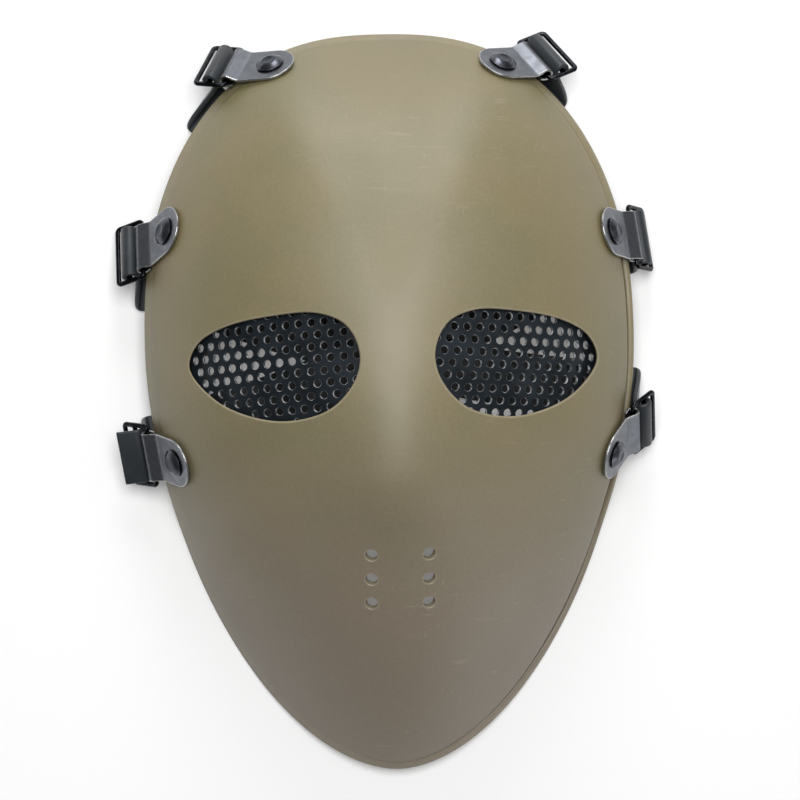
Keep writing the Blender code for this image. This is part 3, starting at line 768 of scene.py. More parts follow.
def rounded_cut(loop_at, surface_at, thickness, radius, support, steps=3):
    """A wall's cut edge, rounded at front and back.

    loop_at gives the flat loop at a distance into the wall from the cut, surface_at the point
    over a flat one at a depth."""
    turns = [pi / 2 * i / steps for i in range(steps + 1)]
    rows = [(radius * (1 - sin(turn)), radius * (1 - cos(turn))) for turn in turns]
    rows += [(margin, thickness - depth) for margin, depth in reversed(rows)]
    return Cut(
        loop_at(radius + support),
        [[surface_at(*point, depth) for point in loop_at(margin)] for margin, depth in rows],
    )


def window_loop(side, margin, step=WINDOW_STEP):
    """A window's outline in the disc, widened all round by a margin."""
    flat = [
        Vector((side * point.outward * EYE_HALF_LENGTH, point.up * EYE_HALF_HEIGHT))
        for point in WINDOW_OUTLINE
    ]
    curve = spline(flat, step, closed=True)
    centre = Vector((side * EYE_ACROSS, CHIN_Y + EYE_ABOVE_CHIN))
    loop = []
    for i, point in enumerate(curve):
        tangent = curve[(i + 1) % len(curve)] - curve[i - 1]
        outward = Vector((tangent.y, -tangent.x)).normalized() * side
        loop.append(to_disc(*(centre + point + outward * margin)))
    return loop


def vent_loop(spot, margin):
    """A loop in the disc whose image is a vent, square to the shell and widened by a margin."""
    centre, normal = dome_point(*spot), dome_normal(*spot)
    across = normal.orthogonal().normalized()
    other = normal.cross(across)
    loop = []
    for i in range(VENT_SIDES):
        angle = 2 * pi * i / VENT_SIDES
        point = centre + (across * cos(angle) + other * sin(angle)) * (VENT_RADIUS + margin)
        loop.append(to_disc(point.x, point.y))
    return loop


def lip_cut(look):
    """The shell's edge: the foot of the wall, the groove, the raised lip and the underside."""
    join = look.lip_width + LIP_FOOT
    loop, columns = [], []
    for i in range(look.rim_sides):
        angle = 2 * pi * i / look.rim_sides
        u, v = cos(angle), sin(angle)
        edge, inward = dome_point(u, v), -dome_normal(u, v)
        inward.z = 0
        inward.normalize()
        spot, above = (to_disc(*(edge + inward * run).xy) for run in (join, join + LIP_PROBE))
        low = look.lip_height * min(1, tan(edge_tilt(angle)) / tan(radians(70)))
        share = between(LIP_SHARES, degrees(atan2(v, u)))
        section = []
        for point in LIP_SECTION:
            place = edge + inward * (look.lip_width * point.inward)
            if point.inward > 0.05 and point.up > 0.5:
                plain = dome_point(*to_disc(*place.xy)).z - edge.z
                last = plain
            else:
                plain = last * point.up
            place.z += low * point.up * share + plain * (1 - share)
            section.append(place)
        top = dome_point(*spot)
        down = top - dome_point(*above)
        foot = swing(top, down, section[0], -inward * 0.05 - Vector((0, 0, 1)), 7)
        heel = edge + inward * (WALL * (1.05 - 0.2 * share) + look.lip_width * share)
        behind = dome_at(*spot, WALL)
        inner = [heel, heel + inward * LIP_HEEL + Vector((0, 0, LIP_HEEL))]
        inner += [inner[-1].lerp(behind, share) for share in (0.35, 0.7)]
        loop.append(spot)
        columns.append(foot + section + inner)
    return Cut(loop, [list(row) for row in zip(*columns)])


def add_piece(mesh, finish, node):
    """Show a mesh in place of a frame's node."""
    mesh.materials.clear()
    mesh.materials.append(finish)
    piece = bpy.data.objects.new(mesh.name, mesh)
    bpy.context.scene.collection.objects.link(piece)
    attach(piece, "root")
    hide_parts(node)


def make_shell(look):
    """The moulded face with its windows, vents and lip."""
    lip = lip_cut(look)
    cuts = [lip]
    for side in (-1, 1):
        window = partial(window_loop, side)
        cuts.append(rounded_cut(window, wall_at, WALL, look.window_round, CUT_SUPPORT, 4))
    for side in (-1, 1):
        for row in range(VENT_ROWS):
            spot = to_disc(side * VENT_ACROSS, CHIN_Y + VENT_LOWEST_ABOVE_CHIN + row * VENT_PITCH)
            vent = partial(vent_loop, spot)
            cuts.append(rounded_cut(vent, dome_at, WALL, look.vent_round, CUT_SUPPORT, 4))
    # The mesh's own points keep about half a step away from the cuts and from the lip
    step = look.mesh_step / DISC_SCALE
    widest = min(point.length for point in lip.loop) - step * 0.6
    fill = disc_fill(step, widest, [Keepout(cut.loop, step * 0.42) for cut in cuts[1:]])
    rims = [Keepout([point], step * 0.55) for point in lip.loop]
    outline = [tuple(point) for point in lip.loop]
    for ring in range(1, ceil((1 - widest) / step) + 1):
        for point in staggered_ring(widest + step * ring, step, ring):
            if inside(point, outline) and not any(rim.holds(point) for rim in rims):
                fill.append(point)

    # How pale each row of a cut turns: the front rounding of windows and vents and the lip's crest, partly
    # scuffed and partly a painted highlight
    def row_wear_and_highlight(cut, row):
        if cut:
            return 0.5 if row < 5 else 0.05
        return 0.0 if row < 10 else 0.22 if row < 16 else 0.1

    mesh = wall_mesh("moulded_shell", cuts, fill, wall_at, WALL, row_wear_and_highlight=row_wear_and_highlight)
    add_piece(mesh, moulded_plastic(look), "mask_shell")


def perforated_sheet():
    """The node tree that punches staggered round holes in a sheet."""
    tree = bpy.data.node_groups.new("Perforated sheet", "GeometryNodeTree")
    node, math = partial(wire, tree), partial(work_out, tree)

    def socket(name, kind, subtype=None, in_out="INPUT"):
        item = tree.interface.new_socket(name, in_out=in_out, socket_type="NodeSocket" + kind)
        if subtype:
            item.subtype = subtype

    def apart(value):
        return node("ShaderNodeSeparateXYZ", {0: value}).outputs

    def vector(x, y, z):
        return node("ShaderNodeCombineXYZ", {"X": x, "Y": y, "Z": z}).outputs[0]

    def compare(operation, first, second):
        return node("FunctionNodeCompare", {0: first, 1: second}, operation=operation).outputs[0]

    def move(geometry, to):
        return node("GeometryNodeSetPosition", {"Geometry": geometry, "Position": to}).outputs[0]

    def mark(geometry, value):
        inputs = {"Geometry": geometry, "Name": "punched", "Value": value}
        kept = node("GeometryNodeStoreNamedAttribute", inputs, data_type="FLOAT", domain="FACE")
        return kept.outputs[0]

    def realize(geometry):
        return node("GeometryNodeRealizeInstances", {"Geometry": geometry}).outputs[0]

    socket("Sheet", "Geometry")
    for name in ("Hole Diameter", "Hole Pitch", "Row Pitch", "Countersink"):
        socket(name, "Float", "DISTANCE")
    for name in ("Border", "Thickness", "Bend Radius"):
        socket(name, "Float", "DISTANCE")
    for name in ("Slant", "Lean"):
        socket(name, "Float", "ANGLE")
    socket("Centre", "Vector")
    socket("Paint", "Material")
    socket("Sheet", "Geometry", in_out="OUTPUT")
    given = node("NodeGroupInput").outputs

    # The holes' places: a flat grid, staggered, slanted and leant, and rolled round the bend
    columns, rows = 29, 21
    grid = node(
        "GeometryNodeMeshGrid",
        {
            "Size X": math("MULTIPLY", given["Hole Pitch"], columns - 1),
            "Size Y": math("MULTIPLY", given["Row Pitch"], rows - 1),
            "Vertices X": columns,
            "Vertices Y": rows,
        },
    )
    at = apart(node("GeometryNodeInputPosition").outputs[0])
    odd = math("FLOORED_MODULO", math("ROUND", math("DIVIDE", at["Y"], given["Row Pitch"])), 2.0)
    along = math("ADD", at["X"], math("MULTIPLY", math("MULTIPLY", odd, 0.5), given["Hole Pitch"]))
    centre = apart(given["Centre"])
    around = math(
        "SUBTRACT",
        math("MULTIPLY_ADD", along, math("COSINE", given["Slant"]), centre["X"]),
        math("MULTIPLY", at["Y"], math("SINE", given["Lean"])),
    )
    upward = math(
        "ADD",
        math("MULTIPLY_ADD", along, math("SINE", given["Slant"]), centre["Y"]),
        math("MULTIPLY", at["Y"], math("COSINE", given["Lean"])),
    )
    turned = math("SINE", math("DIVIDE", around, given["Bend Radius"]))
    bent = math("MULTIPLY", turned, given["Bend Radius"])
    points = move(grid.outputs["Mesh"], vector(bent, upward, centre["Z"]))

    # Each place drops on the sheet, and goes where it misses or comes near the sheet's edge
    fall = node(
        "GeometryNodeRaycast",
        {"Target Geometry": given["Sheet"], "Ray Direction": (0, 0, -1), "Ray Length": 1.0},
        data_type="FLOAT_VECTOR",
    )
    held = node("GeometryNodeCaptureAttribute", {"Geometry": points}, domain="POINT")
    hits = (
        ("VECTOR", "Spot", "Hit Position"),
        ("VECTOR", "Out", "Hit Normal"),
        ("BOOLEAN", "Struck", "Is Hit"),
    )
    for kind, name, _ in hits:
        held.capture_items.new(kind, name)
    for _, name, source in hits:
        tree.links.new(fall.outputs[source], held.inputs[name])
    points = move(held.outputs["Geometry"], held.outputs["Spot"])
    fold = node("GeometryNodeInputMeshEdgeAngle").outputs["Unsigned Angle"]
    rim = node(
        "GeometryNodeSeparateGeometry",
        {"Geometry": given["Sheet"], "Selection": compare("GREATER_THAN", fold, radians(60))},
        domain="EDGE",
    )
    near = node("GeometryNodeProximity", {"Target": rim.outputs["Selection"]}, target_element="EDGES")
    radius = math("MULTIPLY", given["Hole Diameter"], 0.5)
    too_near = compare("LESS_THAN", near.outputs["Distance"], math("ADD", radius, given["Border"]))
    missed = node("FunctionNodeBooleanMath", {0: held.outputs["Struck"]}, operation="NOT").outputs[0]
    unwanted = node("FunctionNodeBooleanMath", {0: too_near, 1: missed}, operation="OR").outputs[0]
    points = node("GeometryNodeDeleteGeometry", {"Geometry": points, "Selection": unwanted}, domain="POINT")

    # The punch: as wide as the hole through the sheet, and wider over it for the countersink
    blank = {"Vertices": 16, "Side Segments": 2, "Radius": 1.0, "Depth": 2.0}
    tool = node("GeometryNodeMeshCylinder", blank, fill_type="NGON").outputs["Mesh"]
    depths = {
        "Value": at["Z"],
        "From Min": -1.0,
        "From Max": 0.0,
        "To Min": math("MULTIPLY", given["Thickness"], -2.2),
        "To Max": math("MULTIPLY", given["Countersink"], -1.0),
    }
    below = node("ShaderNodeMapRange", depths).outputs["Result"]
    slope = math("MULTIPLY", given["Countersink"], 2.0)
    over = math("MULTIPLY", math("MAXIMUM", at["Z"], 0.0), slope)
    wide = math("ADD", radius, over)
    across, up = math("MULTIPLY", at["X"], wide), math("MULTIPLY", at["Y"], wide)
    tool = mark(move(tool, vector(across, up, math("ADD", below, over))), 1.0)
    turn = node("FunctionNodeAlignRotationToVector", {"Vector": held.outputs["Out"]}, axis="Z")
    tools = node(
        "GeometryNodeInstanceOnPoints",
        {"Points": points.outputs[0], "Instance": tool, "Rotation": turn.outputs[0]},
    )
    cut = node(
        "GeometryNodeMeshBoolean",
        {"Mesh 1": mark(given["Sheet"], 0.0), "Mesh 2": realize(tools.outputs[0])},
        operation="DIFFERENCE",
        solver="MANIFOLD",
    )
    painted = {"Geometry": realize(cut.outputs["Mesh"]), "Material": given["Paint"]}
    node("NodeGroupOutput", {"Sheet": node("GeometryNodeSetMaterial", painted).outputs[0]})
    return tree


def run_tree(piece_name, mesh, tree, values):
    """Put a mesh through a node tree and return the plain mesh that comes out."""
    worker = bpy.data.objects.new(piece_name + "_blank", mesh)
    bpy.context.scene.collection.objects.link(worker)
    modifier = worker.modifiers.new("Tree", "NODES")
    modifier.node_group = tree
    for item in tree.interface.items_tree:
        if item.in_out == "INPUT" and item.name in values:
            modifier[item.identifier] = values[item.name]
    bpy.context.view_layer.update()
    graph = bpy.context.evaluated_depsgraph_get()
    result = bpy.data.meshes.new_from_object(worker.evaluated_get(graph), depsgraph=graph)
    result.name = piece_name
    bpy.data.objects.remove(worker)
    return result


def make_screens(look):
    """Both curved sheets behind the windows, punched with staggered holes."""
    paint, tree = screen_paint(look), perforated_sheet()
    step = look.mesh_step / DISC_SCALE

    def sheet_at(u, v, depth):
        return dome_at(u, v, WALL + SCREEN_GAP + depth)

    for name, side, slant, lean, around, up in ROW_LAYS:
        outline = window_loop(side, SCREEN_OVERLAP, SCREEN_STEP)
        loop = [tuple(point) for point in outline]
        fill = [
            point
            for point in disc_fill(step, 1.0, [])
            if inside(point, loop) and min(hypot(point.x - a, point.y - b) for a, b in loop) > step * 0.5
        ]
        blank = wall_mesh("screen_blank", [Cut(outline, [])], fill, sheet_at, SCREEN_THICKNESS)
        values = {
            "Hole Diameter": look.hole,
            "Hole Pitch": look.pitch,
            "Row Pitch": look.row_pitch,
            "Countersink": look.countersink,
            "Border": look.border,
            "Thickness": SCREEN_THICKNESS,
            "Bend Radius": look.bend,
            "Slant": slant,
            "Lean": lean,
            "Centre": (around, up, DOME_HEIGHT * 1.5),
            "Paint": paint,
        }
        mesh = run_tree("perforated_screen_" + name, blank, tree, values)
        smooth(mesh, 28)
        add_piece(mesh, paint, "eye_screen_" + name)


def placing(along, across, up, origin):
    """A placing whose X, Y and Z are the three directions."""
    turn = Matrix((along, across, up)).transposed()
    return Matrix.Translation(origin) @ turn.to_4x4()


def station_place(station):
    """X down the tab, Y across it and Z out of the shell, from the rivet's place."""
    angle = radians(station.polar)
    edge = edge_tilt(angle)
    radius = asin(station.share * sin(edge)) / edge
    spot = (station.side * radius * cos(angle), radius * sin(angle))
    normal = dome_normal(*spot)
    down = (normal * normal.z - Vector((0, 0, 1))).normalized()
    chinward = down.cross(normal) * station.side
    swivel = radians(station.swivel)
    along = down * cos(swivel) + chinward * sin(swivel)
    return placing(along, normal.cross(along), normal, dome_point(*spot))


def tab_runs(station):
    """The tab's middle line past the rivet, as straight runs and arcs; a turn up is positive."""
    flare = radians(station.flare)
    curl = flare + pi
    return (
        Run(TAB_FLAT, 0),
        Run(TAB_FLARE_RADIUS * flare, flare),
        Run(TAB_FLARE_RUN, 0),
        Run(CURL_RADIUS * curl, -curl),
        Run(TAB_TUCK, 0),
    )


def along_runs(runs, distance):
    """Place forward and up, and heading, at a distance along the runs."""
    x, z, heading = 0.0, 0.0, 0.0
    for i, run in enumerate(runs):
        covered = min(distance, run.length) if i < len(runs) - 1 else distance
        turn = run.turn * covered / run.length
        if turn:
            radius = covered / turn
            x += radius * (sin(heading + turn) - sin(heading))
            z += radius * (cos(heading) - cos(heading + turn))
        else:
            x += covered * cos(heading)
            z += covered * sin(heading)
        heading += turn
        distance -= covered
        if distance <= 0:
            break
    return x, z, heading


def curl_centre(station):
    """The slide's inner bar in the tab's frame."""
    runs = tab_runs(station)
    x, z, heading = along_runs(runs, sum(run.length for run in runs[:3]))
    level = TAB_GAP + TAB_THICKNESS / 2
    return x + CURL_RADIUS * sin(heading), z - CURL_RADIUS * cos(heading) + level


def make_tabs(look):
    """Round-ended plates, bent up and curled round the slides' inner bars."""
    plating = plated_steel("tab plating", look.tab, (0.36, 0.365, 0.37), 0.30, (1, 14, 1))
    support = 0.00015
    core = TAB_WIDTH / 2 - look.tab_round - support

    def hole(margin):
        return [polar(RIVET_SHANK_RADIUS + CLEARANCE + margin, 2 * pi * i / 32) for i in range(32)]

    for station in STATIONS.values():
        runs = tab_runs(station)
        marks, total = [0.0], 0.0
        for run in runs:
            steps = max(1, round(abs(run.turn) / radians(6)))
            marks += [total + run.length * (i + 1) / steps for i in range(steps)]
            total += run.length

        def outline(margin):
            half = TAB_WIDTH / 2 - margin
            ends = [*marks[:-1], marks[-1] - margin]
            loop = [Vector((mark, -half)) for mark in ends]
            loop += [Vector((mark, half)) for mark in reversed(ends)]
            return loop + [polar(half, pi / 2 + pi * i / 28) for i in range(1, 28)]

        def at(u, v, depth):
            x, z, heading = along_runs(runs, u) if u > 0 else (u, 0.0, 0.0)
            offset = TAB_THICKNESS / 2 - depth
            level = TAB_GAP + TAB_THICKNESS / 2
            return Vector((x - offset * sin(heading), v, level + z + offset * cos(heading)))

        cuts = [rounded_cut(loop, at, TAB_THICKNESS, look.tab_round, support) for loop in (outline, hole)]
        creases = [(Vector((mark, -core)), Vector((mark, core))) for mark in marks[1:-1]]
        name, place = "plated_tab_" + station.name, station_place(station)
        # Every rounded row of the tab's edge is marked fully pale: a painted highlight on the rims, along
        # with scuffing
        mesh = wall_mesh(name, cuts, [], at, TAB_THICKNESS, creases, place=place)
        add_piece(mesh, plating, "tab_" + station.name)


def rivet_rows(look):
    """A rivet's rows from its tail up to its dented head, but for the two middles."""
    seat = TAB_GAP + TAB_THICKNESS + CLEARANCE
    under = -(WALL + RIVET_TAIL_GAP)
    rows = [
        RivetRow(RIVET_TAIL_RADIUS * 0.9, under - RIVET_TAIL_HEIGHT, 0),
        RivetRow(RIVET_TAIL_RADIUS, under - RIVET_TAIL_HEIGHT * 0.85, 0.4),
        RivetRow(RIVET_TAIL_RADIUS, under - RIVET_TAIL_HEIGHT * 0.1, 0),
        RivetRow(RIVET_TAIL_RADIUS * 0.95, under, 0),
        RivetRow(RIVET_SHANK_RADIUS, under, 0),
        RivetRow(RIVET_SHANK_RADIUS, seat, 0),
        RivetRow(RIVET_HEAD_RADIUS * 0.96, seat, 0),
        # The head's rim is marked pale as a painted ring highlight
        RivetRow(RIVET_HEAD_RADIUS, seat + RIVET_HEAD_HEIGHT * 0.08, 0.3),
        RivetRow(RIVET_HEAD_RADIUS, seat + RIVET_HEAD_HEIGHT * 0.2, 0.6),
    ]
    steps = 14
    for i in range(1, steps):
        share = 1 - i / steps
        radius = RIVET_HEAD_RADIUS * share
        rise = RIVET_HEAD_HEIGHT * (0.2 + 0.8 * (1 - share**2.4))
        dent = look.dimple_depth * exp(-((radius / look.dimple_radius) ** 4))
        # The outer half of the dome is marked pale, as part of the painted ring highlight
        rows.append(RivetRow(radius, seat + rise - dent, 0.25 if share > 0.5 else 0))
    return rows


def make_rivets(look):
    """Domed and dented heads over the tabs, with a shank and a flat tail inside."""
    plating = plated_steel("rivet plating", look.rivet, (0.22, 0.22, 0.25), 0.24, (1, 1, 1))
    rows, sides = rivet_rows(look), look.rivet_sides
    top = TAB_GAP + TAB_THICKNESS + CLEARANCE + RIVET_HEAD_HEIGHT - look.dimple_depth
    points, worn = [Vector((0, 0, rows[0].height))], [0.0]
    for row in rows:
        points += [Vector((*polar(row.radius, 2 * pi * i / sides), row.height)) for i in range(sides)]
        worn += [row.worn] * sides
    points.append(Vector((0, 0, top)))
    worn.append(0.0)
    edge = 1 + (len(rows) - 1) * sides
    faces = []
    for i in range(sides):
        j = (i + 1) % sides
        faces.append((0, 1 + j, 1 + i))
        for low in range(1, edge, sides):
            faces.append((low + i, low + j, low + sides + j, low + sides + i))
        faces.append((edge + i, edge + j, len(points) - 1))
    for station in STATIONS.values():
        place = station_place(station)
        mesh = new_mesh("dented_rivet_" + station.name, [place @ point for point in points], faces, 50)
        store(mesh, worn, points)
        add_piece(mesh, plating, "rivet_" + station.name)


def slide_place(station):
    """X from the slide's inner bar to its outer bar, Y along the bars, Z out of its face."""
    x, z = curl_centre(station)
    turn = Matrix.Rotation(-radians(station.slide_turn), 4, "Y")
    return station_place(station) @ Matrix.Translation((x, 0, z)) @ turn


def round_rectangle(low, high, half, corner, steps=7):
    """A rectangle with round corners, counter-clockwise, from low to high and half each side."""
    loop = []
    for x, y, start in (
        (high - corner, half - corner, 0),
        (low + corner, half - corner, pi / 2),
        (low + corner, corner - half, pi),
        (high - corner, corner - half, 3 * pi / 2),
    ):
        for i in range(steps + 1):
            angle = start + pi / 2 * i / steps
            loop.append(Vector((x + corner * cos(angle), y + corner * sin(angle))))
    return loop


def make_slides(look):
    """Rectangular wire frames with a middle bar."""
    coating = plated_steel("slide coating", look.wire, (0.11, 0.115, 0.125), 0.12, (1, 1, 1))
    half = SLIDE_INNER_HALF + BAR

    def at(u, v, depth):
        return Vector((u, v, SLIDE_THICKNESS / 2 - depth))

    def outline(margin):
        return round_rectangle(
            margin - BAR / 2, OUTER_BAR + BAR / 2 - margin, half - margin, BAR * 1.2 - margin
        )

    def opening(low, high, margin):
        return round_rectangle(low - margin, high + margin, SLIDE_INNER_HALF + margin, BAR / 4 + margin)

    loops = [
        outline,
        partial(opening, BAR / 2, MIDDLE_BAR - BAR / 2),
        partial(opening, MIDDLE_BAR + BAR / 2, OUTER_BAR - BAR / 2),
    ]
    cuts = [rounded_cut(loop, at, SLIDE_THICKNESS, look.wire_round, 0.0001, 5) for loop in loops]
    for station in STATIONS.values():
        name, place = "coated_slide_" + station.name, slide_place(station)
        mesh = wall_mesh(name, cuts, [], at, SLIDE_THICKNESS, row_wear_and_highlight=lambda cut, row: 0.0, place=place)
        add_piece(mesh, coating, "slide_" + station.name)


def gate(station):
    """The edge's wall where the strap passes, its outward direction and its brow-ward one."""
    angle = radians(station.gate)
    u, v = station.side * cos(angle), sin(angle)
    outward = dome_normal(u, v)
    outward.z = 0
    outward.normalize()
    browward = Vector((-outward.y, outward.x, 0)) * station.side
    return dome_point(u, v), outward, browward


def strap_end(station, step):
    """Rows of the strap from its end, over the slide's middle bar and down under the edge."""
    place = slide_place(station)
    along, across, up = (place.col[i].to_3d() for i in range(3))
    bar = place @ Vector((MIDDLE_BAR, 0, 0))
    across = across * station.side
    wall, outward, browward = gate(station)
    if station.open_tail:
        start = pi / 2 + OPEN_TAIL_LIFT
        first = bar + (along * cos(start) + up * sin(start)) * WRAP_RADIUS
        heading = along * sin(start) - up * cos(start)
        rows = [Row(first + heading * OPEN_TAIL * (1 - i / 5), across) for i in range(5)]
    else:
        first = bar + along * WRAP_RADIUS
        bend = first - up * STRAP_THICKNESS
        lowest = FLOOR_LEVEL + abs(across.z) * STRAP_WIDTH / 2
        drop = Vector((0, 0, min(STRAP_TAIL, bend.z - lowest)))
        rows = [Row(bend - drop * (1 - i / 4), across) for i in range(5)]
        rows.append(Row(bend.lerp(first, 0.5), across))
        start = 0
    turns = 14 if station.open_tail else 24
    for i in range(turns + 1):
        angle = start + (pi - start) * i / turns
        rows.append(Row(bar + (along * cos(angle) + up * sin(angle)) * WRAP_RADIUS, across))
    leg = rows[-1].centre - up * BAR
    standoff = wall + outward * GATE_STANDOFF
    standoff.z = FLOOR_LEVEL * 1.6
    under = wall - outward * WALL / 2
    under.z = FLOOR_LEVEL
    curve = spline([rows[-1].centre, leg, standoff, under], step / 2)[1:]
    top, fall = rows[-1].centre.z, rows[-1].centre.z - standoff.z
    for centre in curve:
        share = min(max((top - centre.z) / fall, 0), 1)
        rows.append(Row(centre, (across * (1 - share) + browward * share).normalized()))
    return rows


def strap_rows(band, level, step):
    """The whole strap: one end, the run behind the face over the crossing, the other end."""
    left, right = (strap_end(STATIONS[name], step) for name in (band.left, band.right))
    hub = Vector((0, CHIN_Y + HUB_ABOVE_CHIN, FLOOR_LEVEL))
    run = spline([left[-1].centre, hub, right[-1].centre], step * 1.5)
    rows = []
    for i, point in enumerate(run[1:-1], 1):
        near = eased(1, 0, ((point - hub).length - HUB_FLAT) / HUB_RAMP)
        rise = Vector((0, 0, level * (STRAP_THICKNESS + CLEARANCE) * near))
        ahead = (run[i + 1] - run[i - 1]).normalized()
        square = Vector((-ahead.y, ahead.x, 0))
        for end in (left[-1], right[-1]):
            share = eased(1, 0, (point - end.centre).length / (STRAP_WIDTH * 1.5))
            square = square * (1 - share) + end.across * share
        rows.append(Row(point + rise, square.normalized()))
    return left + rows + right[::-1]


def strap_section(edge_round):
    """The strap's section, counter-clockwise seen against its length: across and up."""
    half, up = STRAP_WIDTH / 2 - edge_round, STRAP_THICKNESS / 2 - edge_round
    section = []
    for side, level, start in ((-1, -1, pi), (1, -1, 1.5 * pi), (1, 1, 0), (-1, 1, pi / 2)):
        centre = Vector((side * half, level * up))
        section += [centre + polar(1, start + pi / 2 * i / 3) * edge_round for i in range(4)]
    return section


def make_straps(look):
    """Flat woven bands from slide to slide, crossing behind the face."""
    webbing = elastic_webbing(look)
    section = strap_section(look.edge_round)
    count = len(section)
    girth = [0.0]
    for a, b in zip(section, section[1:] + section[:1]):
        girth.append(girth[-1] + (b - a).length)
    for level, band in enumerate(BANDS):
        rows = strap_rows(band, level, look.step)
        points, travelled = [], [0.0]
        for i, row in enumerate(rows):
            ahead = rows[min(i + 1, len(rows) - 1)].centre - rows[max(i - 1, 0)].centre
            thick = ahead.cross(row.across).normalized()
            points += [row.centre + row.across * spot.x + thick * spot.y for spot in section]
            if i:
                travelled.append(travelled[-1] + (row.centre - rows[i - 1].centre).length)
        faces = [tuple(range(count - 1, -1, -1))]
        uvs = [(girth[j], 0) for j in range(count - 1, -1, -1)]
        for i, (low, high) in enumerate(zip(travelled, travelled[1:])):
            a, b = i * count, (i + 1) * count
            for j in range(count):
                k = (j + 1) % count
                faces.append((a + j, a + k, b + k, b + j))
                uvs += [(girth[j], low), (girth[j + 1], low), (girth[j + 1], high), (girth[j], high)]
        last = (len(rows) - 1) * count
        faces.append(tuple(range(last, last + count)))
        uvs += [(girth[j], travelled[-1]) for j in range(count)]
        mesh = new_mesh(band.name.replace("strap", "woven_strap", 1), points, faces, 55)
        layer = mesh.uv_layers.new(name="strap")
        layer.data.foreach_set("uv", [number for pair in uvs for number in pair])
        add_piece(mesh, webbing, band.name)


def soft_light(name, place, size, power):
    """A softbox that faces the mask, its size across and up."""
    lamp = bpy.data.lights.new(name, "AREA")
    lamp.shape, lamp.energy = "RECTANGLE", power
    lamp.size, lamp.size_y = size
    box = bpy.data.objects.new(name, lamp)
    box.location = place
    box.rotation_euler = (-Vector(place)).to_track_quat("-Z", "Y").to_euler()
    bpy.context.scene.collection.objects.link(box)


def make_studio(look):
    """A pale floor, soft lights and the camera over the face."""
    half = 4.0
    mesh = bpy.data.meshes.new("studio_floor")
    corners = [(-half, -half, 0), (half, -half, 0), (half, half, 0), (-half, half, 0)]
    mesh.from_pydata(corners, [], [(0, 1, 2, 3)])
    floor = bpy.data.objects.new("studio_floor", mesh)
    bpy.context.scene.collection.objects.link(floor)
    finish, _, shader, _ = surface("pale floor", 0.9)
    shader.inputs["Base Color"].default_value = (*look.floor, 1)
    shader.inputs["Emission Color"].default_value = (1, 1, 1, 1)
    shader.inputs["Emission Strength"].default_value = look.glow
    mesh.materials.append(finish)
    soft_light("overhead softbox", (0.0, 0.35, 1.55), (0.90, 0.90), look.over_light)
    soft_light("brow softbox", (0.03, 1.35, 0.50), (0.40, 0.80), look.brow_light)
    soft_light("right softbox", (1.30, 0.10, 0.90), (0.70, 1.00), look.right_light)
    soft_light("low softbox", (1.15, -1.00, 0.30), (0.60, 0.50), look.low_light)
    world = bpy.data.worlds.new("studio")
    world.use_nodes = True
    world.node_tree.nodes["Background"].inputs["Color"].default_value = (1, 1, 1, 1)
    world.node_tree.nodes["Background"].inputs["Strength"].default_value = look.room_light
    scene = bpy.context.scene
    scene.world = world
    scene.view_settings.view_transform = "Standard"
    lens = bpy.data.cameras.new("camera")
    lens.lens = look.lens
    lens.sensor_width = 36
    camera = bpy.data.objects.new("camera", lens)
    place = Vector(look.place)
    aim = Vector(look.aim) - place
    side = Vector((cos(look.roll), sin(look.roll), 0))
    back = -aim.normalized()
    side = (side - back * side.dot(back)).normalized()
    camera.matrix_world = placing(side, back.cross(side), back, place)
    scene.collection.objects.link(camera)
    scene.camera = camera


class FACEMASK_OT_shell(bpy.types.Operator):
    """Mould the face shell with its windows, vents and lip"""

    bl_idname = "face_mask.shell"
    bl_label = "Shell"
    bl_options = {"REGISTER", "UNDO"}

    def execute(self, context):
        make_shell(context.scene.face_mask.shell)
        return {"FINISHED"}


class FACEMASK_OT_screens(bpy.types.Operator):
    """Punch the two eye screens"""

    bl_idname = "face_mask.screens"
    bl_label = "Eye screens"
    bl_options = {"REGISTER", "UNDO"}

    def execute(self, context):
        make_screens(context.scene.face_mask.screens)
        return {"FINISHED"}


class FACEMASK_OT_tabs(bpy.types.Operator):
    """Bend the six tabs"""

    bl_idname = "face_mask.tabs"
    bl_label = "Tabs"
    bl_options = {"REGISTER", "UNDO"}

    def execute(self, context):
        make_tabs(context.scene.face_mask.fixings)
        return {"FINISHED"}


class FACEMASK_OT_rivets(bpy.types.Operator):
    """Set the six rivets"""

    bl_idname = "face_mask.rivets"
    bl_label = "Rivets"
    bl_options = {"REGISTER", "UNDO"}

    def execute(self, context):
        make_rivets(context.scene.face_mask.fixings)
        return {"FINISHED"}


class FACEMASK_OT_slides(bpy.types.Operator):
    """Form the six wire slides"""

    bl_idname = "face_mask.slides"
    bl_label = "Slides"
    bl_options = {"REGISTER", "UNDO"}

    def execute(self, context):
        make_slides(context.scene.face_mask.fixings)
        return {"FINISHED"}


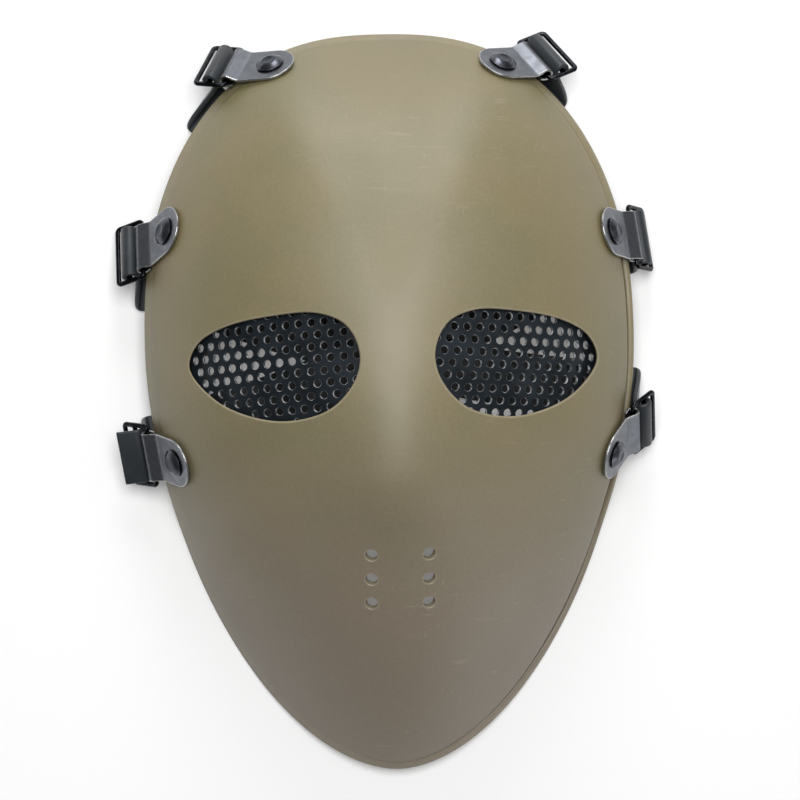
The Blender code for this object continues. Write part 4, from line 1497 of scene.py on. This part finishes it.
class FACEMASK_OT_straps(bpy.types.Operator):
    """Thread the three elastic straps"""

    bl_idname = "face_mask.straps"
    bl_label = "Straps"
    bl_options = {"REGISTER", "UNDO"}

    def execute(self, context):
        make_straps(context.scene.face_mask.straps)
        return {"FINISHED"}


class FACEMASK_OT_studio(bpy.types.Operator):
    """Set up the floor, the lights and the camera"""

    bl_idname = "face_mask.studio"
    bl_label = "Studio"
    bl_options = {"REGISTER", "UNDO"}

    def execute(self, context):
        make_studio(context.scene.face_mask.studio)
        return {"FINISHED"}


STEPS = ("shell", "screens", "tabs", "rivets", "slides", "straps", "studio")


class FACEMASK_PT_panel(bpy.types.Panel):
    """Sizes, colours and the pieces to build"""

    bl_label = "Face mask"
    bl_idname = "FACEMASK_PT_panel"
    bl_space_type = "VIEW_3D"
    bl_region_type = "UI"
    bl_category = "Face mask"

    def draw(self, context):
        settings = context.scene.face_mask
        for step, group in zip(
            STEPS, ("shell", "screens", "fixings", "fixings", "fixings", "straps", "studio")
        ):
            box = self.layout.box()
            box.operator("face_mask." + step)
            if step in ("rivets", "slides"):
                continue
            look = getattr(settings, group)
            for name in look.__annotations__:
                box.prop(look, name)


CLASSES = (
    ShellLook,
    ScreenLook,
    FixingLook,
    StrapLook,
    StudioLook,
    MaskSettings,
    FACEMASK_OT_shell,
    FACEMASK_OT_screens,
    FACEMASK_OT_tabs,
    FACEMASK_OT_rivets,
    FACEMASK_OT_slides,
    FACEMASK_OT_straps,
    FACEMASK_OT_studio,
    FACEMASK_PT_panel,
)


def register():
    """Add the settings, the operators and the panel."""
    for kind in CLASSES:
        bpy.utils.register_class(kind)
    bpy.types.Scene.face_mask = PointerProperty(type=MaskSettings)


def unregister():
    """Take them away again."""
    del bpy.types.Scene.face_mask
    for kind in reversed(CLASSES):
        bpy.utils.unregister_class(kind)


def main():
    """Build every piece."""
    register()
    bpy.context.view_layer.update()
    for step in STEPS:
        getattr(bpy.ops.face_mask, step)()


if __name__ == "__main__":
    main()
